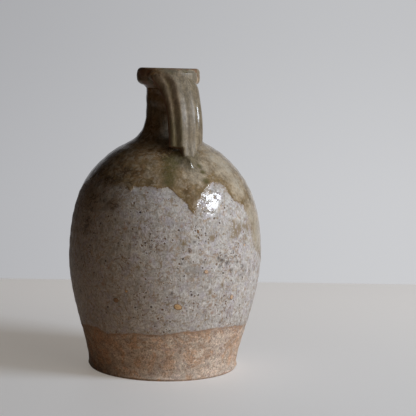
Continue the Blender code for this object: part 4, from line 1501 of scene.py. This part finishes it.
class JugStrapSizes(bpy.types.PropertyGroup):
    width: length("Width", 33.4 * MM, "Width of the strap at its middle")
    thickness: length("Thickness", 7.8 * MM, "Thickness of the strap")
    ridge_height: length("Ridge height", 1.6 * MM, "Height of the ridges that the fingers left")
    top_depth: length("Top depth", 3.4 * MM, "How deep its middle line starts in the collar")
    top_drop: length("Top drop", 4.0 * MM, "How far under the rim its middle line starts")
    bend_draw: length("Bend draw", 5.4 * MM, "How far the bend stays in from the shoulder's start")
    bend_rise: length("Bend rise", 18.0 * MM, "How far the bend lies above the shoulder")
    tail: length("Tail", 5.0 * MM, "How far the tail runs down the shoulder")
    aside: length("Aside", -0.8 * MM, "How far it stands to one side of the handle's plane")
    top_lean: length("Top lean", -3.5 * MM, "How far its top is smeared to one side on the collar")
    tongue_lean: length("Tongue lean", -0.6 * MM, "How far the tail's tip lies to one side")
    tail_depth: length("Tail depth", 1.3 * MM, "How deep the tail's tip is pressed in")
    root_slip: length("Slip at the root", 4.2 * MM, "Height of the fillet where it lands on the shoulder")
    root_reach: length("Reach at the root", 12.0 * MM, "Width of that fillet")
    collar_slip: length("Slip at the collar", 2.0 * MM, "Height of the fillet on the collar")
    collar_reach: length("Reach at the collar", 6.5 * MM, "Width of that fillet")


class JugColours(bpy.types.PropertyGroup):
    grey: colour("Grey glaze", (0.50, 0.493, 0.475), "The satin glaze")
    grey_dark: colour("Grey glaze, thin", (0.38, 0.36, 0.34), "Where the clay shows through it")
    grey_pale: colour("Grey glaze, pale", (0.64, 0.65, 0.665), "Flecks and rims")
    grey_lilac: colour("Grey glaze, lilac", (0.455, 0.435, 0.475), "Cool clouds in the grey glaze")
    grey_smudge: colour("Smoke smudge", (0.20, 0.185, 0.17), "Dark smudges from the fire")
    tan_stain: colour("Tan stain", (0.37, 0.29, 0.215), "Iron bleeding through the grey glaze")
    olive_stain: colour("Olive stain", (0.235, 0.175, 0.095), "Thin ash on the grey glaze")
    rusty_spot: colour("Rusty spot", (0.34, 0.21, 0.14), "Iron spots in the grey glaze")
    # Pit dark is also painted shade where the burnt marks char the far left and the strap's foot
    pit_dark: colour("Pit, dark", (0.06, 0.04, 0.028), "Burst bubbles")
    pit_brown: colour("Pit, brown", (0.20, 0.125, 0.075), "Shallow burst bubbles")
    olive: colour("Olive glaze", (0.215, 0.153, 0.079), "The ash glaze where it is thick")
    # Beige is also painted light on the neck behind the strap
    beige: colour("Beige glaze", (0.41, 0.352, 0.268), "The ash glaze where it is thin")
    # Ochre brown, green pool and burnt edge are also painted shade where the brown, pool and thin marks
    # stand for shade
    ochre_brown: colour("Ochre brown", (0.215, 0.134, 0.070), "Brown clouds in the ash glaze")
    green_pool: colour("Green pool", (0.105, 0.092, 0.038), "Ash glaze gathered in grooves")
    burnt_edge: colour("Burnt edge", (0.19, 0.10, 0.055), "Sharp edges that the glaze drew back from")
    run_ochre: colour("Run ochre", (0.24, 0.18, 0.10), "The ash glaze where it thickens towards its edge")
    lip_brown: colour("Lip brown", (0.20, 0.13, 0.055), "The ash glaze's lower edge")
    sage: colour("Sage glaze", (0.185, 0.165, 0.125), "The ash glaze on the strap and the mouth")
    # Painted light: the milky glaze stands in for light through the gap behind the strap and for sheen on
    # the shoulder's right
    milky: colour("Milky glaze", (0.52, 0.48, 0.40), "The ash glaze where it clouded over")
    iron: colour("Iron speck", (0.05, 0.025, 0.012), "Iron specks")
    clay_buff: colour("Buff clay", (0.56, 0.48, 0.41), "Bare clay")
    clay_red: colour("Red clay", (0.52, 0.365, 0.26), "Bare clay that flashed red")
    clay_pale: colour("Pale clay", (0.68, 0.61, 0.53), "A dry bloom on the clay")
    clay_dark: colour("Grimy clay", (0.30, 0.21, 0.155), "Grime in the clay's grain")
    clay_violet: colour("Violet clay", (0.42, 0.34, 0.325), "Bare clay that the smoke greyed")
    foot_lip: colour("Foot line", (0.33, 0.215, 0.145), "The grey glaze's lower edge")
    grit_tan: colour("Tan grit", (0.62, 0.42, 0.23), "Coarse grit")
    grit_brown: colour("Brown grit", (0.30, 0.18, 0.09), "Iron-rich grit")
    grit_orange: colour("Orange grit", (0.63, 0.45, 0.31), "Crushed fired clay")


class JugStage(bpy.types.PropertyGroup):
    camera_azimuth: angle("Camera azimuth", 68.0, "Angle of the view round the jug")
    distance: length("Distance", 1.120, "From the axis to the camera")
    eye_height: length("Eye height", 0.270, "The camera's height over the table")
    lens: amount("Lens", 1241.5 * SENSOR / PICTURE_SIDE, "Focal length in millimetres, on that sensor")
    yaw: angle("Yaw", 1.956, "How far the view turns off the axis")
    pitch: angle("Pitch", 6.39, "How far the view looks down")
    roll: angle("Roll", 1.354, "How far the picture leans")
    key_bearing: angle("Window bearing", 70.0, "How far right of the camera the window lies")
    key_rise: angle("Window elevation", 28.0, "How high the window lies")
    key_distance: length("Window distance", 2.2, "From the jug to the window light")
    key_width: length("Window width", 0.80, "Width of the window light")
    key_height: length("Window height", 0.62, "Height of the window light")
    key_power: amount("Window power", 31.5, "Power of the window light in watts")
    key_colour: colour("Window colour", (0.84, 0.905, 1.0), "Colour of the window light")
    fill_bearing: angle("Fill bearing", 50.0, "How far right of the camera the broad fill light lies")
    fill_rise: angle("Fill elevation", 15.0, "How high the fill light lies")
    fill_width: length("Fill width", 1.7, "Width of the fill light")
    fill_power: amount("Fill power", 18.5, "Power of the fill light in watts")
    fill_colour: colour("Fill colour", (1.0, 0.905, 0.76), "Colour of the fill light")
    room_colour: colour("Room colour", (0.016, 0.012, 0.009), "Dim warm light of the room")
    wall_left: colour("Wall, left", (0.410, 0.413, 0.431), "The backdrop at the left")
    wall_right: colour("Wall, right", (0.604, 0.610, 0.628), "The backdrop at the right")
    table_colour: colour("Table colour", (0.62, 0.65, 0.69), "The table top")
    bounce_colour: colour("Table bounce", (0.46, 0.28, 0.16), "The table top, as it lights the jug")
    table_glow: colour("Table glow", (0.262, 0.238, 0.212), "Pale light of the table, for the view alone")
    table_thickness: length("Table thickness", 30 * MM, "Thickness of the table top")
    table_edge: length("Table edge", 3 * MM, "Rounding of the table's edge")


class JUG_OT_vessel(bpy.types.Operator):
    """Turns the vessel's skin, runs the glazes over it and stands it for the vessel's solid"""

    bl_idname = "jug.vessel"
    bl_label = "Thrown vessel"

    def execute(self, context):
        vessel = context.scene.jug_vessel
        wall = Wall(vessel)
        mesh = turned("thrown_vessel", vessel_outline(vessel), WALL_TURNS, closed=False)
        points = points_of(mesh)
        azimuths, lengths = wall.surface.measure(points)
        plain = wall.surface.place(azimuths, lengths)
        outer = np.linalg.norm(points - plain, axis=1) < vessel.wall / 3
        outer &= points[:, 2] > vessel.foot_chamfer / 2
        outer &= points[:, 2] < vessel.height - vessel.mouth_rounding
        marks = wall.marks(points)
        lifts = np.where(outer, wall.lift(points, marks), 0)
        moved = wall.surface.place(azimuths, lengths, lifts)
        points[outer] = moved[outer]
        move_points(mesh, points)
        for name, values in marks.items():
            mark(mesh, name, values)
        show("thrown_vessel", mesh, vessel_material(), "body_glaze", "vessel_body")
        return {"FINISHED"}


class JUG_OT_collar(bpy.types.Operator):
    """Turns the collar's skin, with its uneven edges, and stands it for the collar's solid"""

    bl_idname = "jug.collar"
    bl_label = "Mouth collar"

    def execute(self, context):
        collar = context.scene.jug_collar
        outline = resampled(collar_outline(collar), COLLAR_STEP)
        inside = np.array((collar.mouth_radius + collar.bite * 3, collar.base - collar.undercut))
        mesh = turned("collar_band", joined(outline, inside), COLLAR_TURNS, closed=True)
        points = points_of(mesh)
        radii = np.hypot(points[:, 0], points[:, 1])
        outer = smooth((radii - collar.neck_radius) / COLLAR_EDGE)
        swell = unevenness(points, COLLAR_WAVES) * collar.waviness
        points[:, :2] *= (1 + (swell - collar.waviness) * outer / radii)[:, None]
        low = smooth((collar.base + collar.foot_rounding - points[:, 2]) / collar.foot_rounding)
        hem = unevenness(points * (1, 1, 0), COLLAR_HEM_WAVES) * collar.waviness
        points[:, 2] += hem * low * outer
        points[:, 2] = np.minimum(points[:, 2], collar.height)
        move_points(mesh, points)
        band = collar_surface(collar)
        marks = {name: blots(band, points, places) for name, places in COLLAR_BLOTS.items()}
        worn_from = collar.height - collar.top_rounding * WORN_DROP_SHARE
        worn = smooth((points[:, 2] - worn_from) / (collar.top_rounding * WORN_FADE_SHARE)) * outer
        worn = worn * smooth(WORN_LEVEL + unevenness(points, WORN_WAVES))
        marks["thin"] = np.maximum(marks["thin"], worn)
        marks["dull"] = np.full(len(points), COLLAR_DULL)
        for name, values in marks.items():
            mark(mesh, name, values)
        show("collar_band", mesh, gloss_material("ash_glaze_on_collar"), "gloss_glaze", "mouth_collar")
        return {"FINISHED"}


class JUG_OT_strap(bpy.types.Operator):
    """Draws the strap handle with its ridges and stands it for the strap's solid"""

    bl_idname = "jug.strap"
    bl_label = "Strap handle"

    def execute(self, context):
        scene = context.scene
        rings, marks = strap_rings(scene.jug_strap, scene.jug_collar, scene.jug_vessel)
        marks["sage"] = np.full(rings.shape[:2], STRAP_SAGE)
        mesh = rolled_tube("pulled_strap", rings, marks)
        show("pulled_strap", mesh, gloss_material("ash_glaze_on_strap"), "gloss_glaze", "strap_handle")
        return {"FINISHED"}


class JUG_OT_slips(bpy.types.Operator):
    """Smears the slip that joins the strap to the shoulder and to the collar"""

    bl_idname = "jug.slips"
    bl_label = "Luting slip"

    def execute(self, context):
        scene = context.scene
        strap, collar, vessel = scene.jug_strap, scene.jug_collar, scene.jug_vessel
        rings = strap_rings(strap, collar, vessel)[0]
        wall = Wall(vessel)
        material = gloss_material("ash_glaze_on_slip")
        root = Footing(wall.surface, rings[STRAP_RINGS // 2 :], strap.root_slip, strap.root_reach)

        def root_lift(points):
            return wall.lift(points, wall.marks(points)) + root.lift(points)

        bounds = root.bounds(np.interp(root.lengths.mean(), wall.surface.lengths, wall.surface.radii))
        mesh = slip_patch("root_slip", wall.surface, bounds, root_lift, SLIP_SUNK)
        points = points_of(mesh)
        marks = wall.marks(points)
        # Near the strap the slip is greyed, and darkened as pooled glaze that is partly painted shade of the
        # crease; the burnt marks, partly painted shadow, darken it too
        near = smooth(root.lift(points) / strap.root_slip * 2)
        marks["sage"] = np.maximum(marks["sage"], SLIP_SAGE * near)
        marks["brown"] = np.maximum(marks["brown"], marks["burnt_and_shadow"])
        marks["pool"] = np.maximum(marks["pool"], np.maximum(SLIP_POOL_AND_SHADE * near, marks["burnt_and_shadow"]))
        for name in ("pool", "brown", "beige", "sage", "milky"):
            mark(mesh, name, marks[name])
        show("root_slip", mesh, material, "luting_slip", "root_luting")

        band = collar_surface(collar)
        top = Footing(band, rings[: STRAP_RINGS // 2], strap.collar_slip, strap.collar_reach)
        low = collar.base + collar.foot_rounding * COLLAR_SLIP_FOOT_SHARE
        edges = (low, collar.height - COLLAR_SLIP_DROP)
        bounds = (top.bounds(collar.radius)[0], np.interp(edges, band.heights, band.lengths))
        mesh = slip_patch("collar_slip", band, bounds, top.lift, SLIP_SUNK * 2)
        points = points_of(mesh)
        marks = {name: blots(band, points, places) for name, places in COLLAR_BLOTS.items()}
        marks["dull"] = np.full(len(points), SLIP_DULL)
        for name, values in marks.items():
            mark(mesh, name, values)
        show("collar_slip", mesh, material, "luting_slip", "collar_luting")
        return {"FINISHED"}


class JUG_OT_grit(bpy.types.Operator):
    """Sets the coarse grit that burst through the glaze into the wall"""

    bl_idname = "jug.grit"
    bl_label = "Grit"

    def execute(self, context):
        colours = context.scene.jug_colours
        wall = Wall(context.scene.jug_vessel)
        for clay in ("tan", "brown", "orange"):
            places = [row[:-1] for row in GRIT_PIXELS if row[-1] == clay]
            mesh = grit_mesh(f"{clay}_grit", wall, places)
            material = grit_material(f"{clay}_grit", getattr(colours, f"grit_{clay}"))
            show(f"{clay}_grit", mesh, material, "body_glaze")
        return {"FINISHED"}


class JUG_OT_stage(bpy.types.Operator):
    """Sets the table, the backdrop, the window light and the camera"""

    bl_idname = "jug.stage"
    bl_label = "Table, light and camera"

    def execute(self, context):
        stage = context.scene.jug_stage
        set_camera(stage)
        set_world(stage)
        window_size = (stage.key_width, stage.key_height)
        fill_size = (stage.fill_width, stage.fill_width * FILL_HEIGHT_SHARE)
        set_window(
            stage, "window", stage.key_bearing, stage.key_rise, window_size,
            stage.key_power, stage.key_colour,
        )
        set_window(
            stage, "fill", stage.fill_bearing, stage.fill_rise, fill_size,
            stage.fill_power, stage.fill_colour, mirrored=False,
        )
        set_table(stage)
        context.scene.view_settings.view_transform = "Standard"
        return {"FINISHED"}


def set_camera(stage):
    """The camera that the photograph was taken with, as its outline and its lines tell."""
    place, right, up, forward = camera_frame(stage)
    data = bpy.data.cameras.new("camera")
    data.sensor_width = SENSOR
    data.lens = stage.lens
    camera = bpy.data.objects.new("camera", data)
    matrix = Matrix((right, up, -forward)).transposed().to_4x4()
    matrix.translation = place
    camera.matrix_world = matrix
    bpy.context.scene.collection.objects.link(camera)
    bpy.context.scene.camera = camera


def set_window(stage, name, bearing, rise, size, power, colour, mirrored=True):
    """A soft window light, right of the camera, which the gloss may or may not mirror."""
    bearing += stage.camera_azimuth - math.pi / 2
    level = math.cos(rise) * stage.key_distance
    target = Vector((0, 0, stage.eye_height / 2))
    height = math.sin(rise) * stage.key_distance
    place = target + Vector((math.cos(bearing) * level, math.sin(bearing) * level, height))
    data = bpy.data.lights.new(name, "AREA")
    data.shape = "RECTANGLE"
    data.size, data.size_y = size
    data.energy = power
    data.color = colour
    lamp = bpy.data.objects.new(name, data)
    lamp.visible_glossy = mirrored
    turn = (place - target).to_track_quat("Z", "Y")
    lamp.matrix_world = Matrix.Translation(place) @ turn.to_matrix().to_4x4()
    bpy.context.scene.collection.objects.link(lamp)


def set_world(stage):
    """A pale wall behind for what the camera and the gloss see, and a dim warm room for the rest."""
    world = bpy.data.worlds.new("room")
    bpy.context.scene.world = world
    world.use_nodes = True
    world.node_tree.nodes.clear()
    nodes = Nodes(world.node_tree)
    _, right, _, forward = camera_frame(stage)
    towards = nodes.add("TexCoord").outputs["Generated"]
    side = nodes.dot(towards, right)
    behind = nodes.dot(towards, forward)
    height = nodes.add("SeparateXYZ", {0: towards}).outputs["Z"]
    wall = nodes.blend(nodes.rise(side, *WALL_SIDE_EDGES), stage.wall_left, stage.wall_right)
    wall = nodes.shade(wall, nodes.rise(height, *WALL_HEIGHT_SHARES))
    room = nodes.blend(nodes.rise(behind, *WALL_REACH), stage.room_colour, wall)
    seen = nodes.blend(nodes.add("LightPath").outputs["Is Camera Ray"], room, wall)
    glow = nodes.add("Background", {"Color": seen, "Strength": 1.0})
    nodes.add("OutputWorld", {"Surface": glow.outputs[0]})


def set_table(stage):
    """A plain pale table top whose far edge crosses the view behind the jug."""
    ends = []
    for pixel in TABLE_EDGE_PIXELS:
        place, ray = ray_through(pixel)
        ends.append(place - ray * (place.z / ray.z))
    along = (ends[1] - ends[0]).normalized()
    nearer = Vector((along.y, -along.x, 0))
    middle = (ends[0] + ends[1]) / 2 + nearer * TABLE_DEPTH / 2 - Vector((0, 0, stage.table_thickness / 2))
    turn = Matrix((along, -nearer, (0, 0, 1))).transposed().to_4x4()
    form = bmesh.new()
    bmesh.ops.create_cube(form, size=1)
    bmesh.ops.scale(form, vec=(2 * TABLE_HALF_WIDTH, TABLE_DEPTH, stage.table_thickness), verts=form.verts)
    bmesh.ops.bevel(
        form, geom=form.edges[:], offset=stage.table_edge, affect="EDGES",
        segments=3, profile=0.5, material=-1,
    )
    bmesh.ops.transform(form, matrix=Matrix.Translation(middle) @ turn, verts=form.verts)
    mesh = finished("table", form)
    mesh.materials.append(table_material(stage, along, nearer))
    table = bpy.data.objects.new("table", mesh)
    bpy.context.scene.collection.objects.link(table)


def table_material(stage, along, nearer):
    """A pale top that lights the jug warmly and glows a little in the view and in the gloss."""
    material = bpy.data.materials.new("pale_table")
    material.use_nodes = True
    material.node_tree.nodes.clear()
    nodes = Nodes(material.node_tree)
    path = nodes.add("LightPath").outputs
    top = nodes.blend(path["Is Diffuse Ray"], stage.table_colour, stage.bounce_colour)
    shader = nodes.add("BsdfPrincipled", {"Base Color": top, "Roughness": TABLE_ROUGHNESS})
    where = nodes.place()
    beyond = nodes.rise(nodes.dot(where, -nearer), *TABLE_FAR_SHARES)
    aside = nodes.rise(nodes.dot(where, along), *TABLE_SIDE_SHARES)
    colour = nodes.shade(stage.table_glow, nodes.times(beyond, aside))
    glow = nodes.add("Emission", {"Color": colour, "Strength": 1.0})
    nothing = nodes.add("Emission", {"Strength": 0.0})
    seen = nodes.most(path["Is Camera Ray"], path["Is Glossy Ray"])
    extra = nodes.add("MixShader", {0: seen, 1: nothing.outputs[0], 2: glow.outputs[0]})
    total = nodes.add("AddShader", {0: shader.outputs[0], 1: extra.outputs[0]})
    nodes.add("OutputMaterial", {"Surface": total.outputs[0]})
    return material


GROUPS = (
    ("jug_vessel", JugVesselSizes),
    ("jug_collar", JugCollarSizes),
    ("jug_strap", JugStrapSizes),
    ("jug_colours", JugColours),
    ("jug_stage", JugStage),
)
OPERATORS = (JUG_OT_vessel, JUG_OT_collar, JUG_OT_strap, JUG_OT_slips, JUG_OT_grit, JUG_OT_stage)


class JUG_PT_panel(bpy.types.Panel):
    """Lists the jug's pieces, sizes and colours"""

    bl_label = "Stoneware jug"
    bl_space_type = "VIEW_3D"
    bl_region_type = "UI"
    bl_category = "Jug"

    def draw(self, context):
        layout = self.layout
        for operator in OPERATORS:
            layout.operator(operator.bl_idname)
        for name, kind in GROUPS:
            box = layout.box()
            box.label(text=kind.__name__)
            for entry in kind.__annotations__:
                box.prop(getattr(context.scene, name), entry)


def register():
    """Makes the settings, the operators and the panel known."""
    for _, kind in GROUPS:
        bpy.utils.register_class(kind)
    for name, kind in GROUPS:
        setattr(bpy.types.Scene, name, bpy.props.PointerProperty(type=kind))
    for kind in (*OPERATORS, JUG_PT_panel):
        bpy.utils.register_class(kind)


def unregister():
    """Takes them out again."""
    for kind in (JUG_PT_panel, *reversed(OPERATORS)):
        bpy.utils.unregister_class(kind)
    for name, kind in GROUPS:
        delattr(bpy.types.Scene, name)
        bpy.utils.unregister_class(kind)


def main():
    """Builds the jug and its stage."""
    register()
    shared_effects()
    bpy.ops.jug.vessel()
    bpy.ops.jug.collar()
    bpy.ops.jug.strap()
    bpy.ops.jug.slips()
    bpy.ops.jug.grit()
    bpy.ops.jug.stage()


if __name__ == "__main__":
    main()
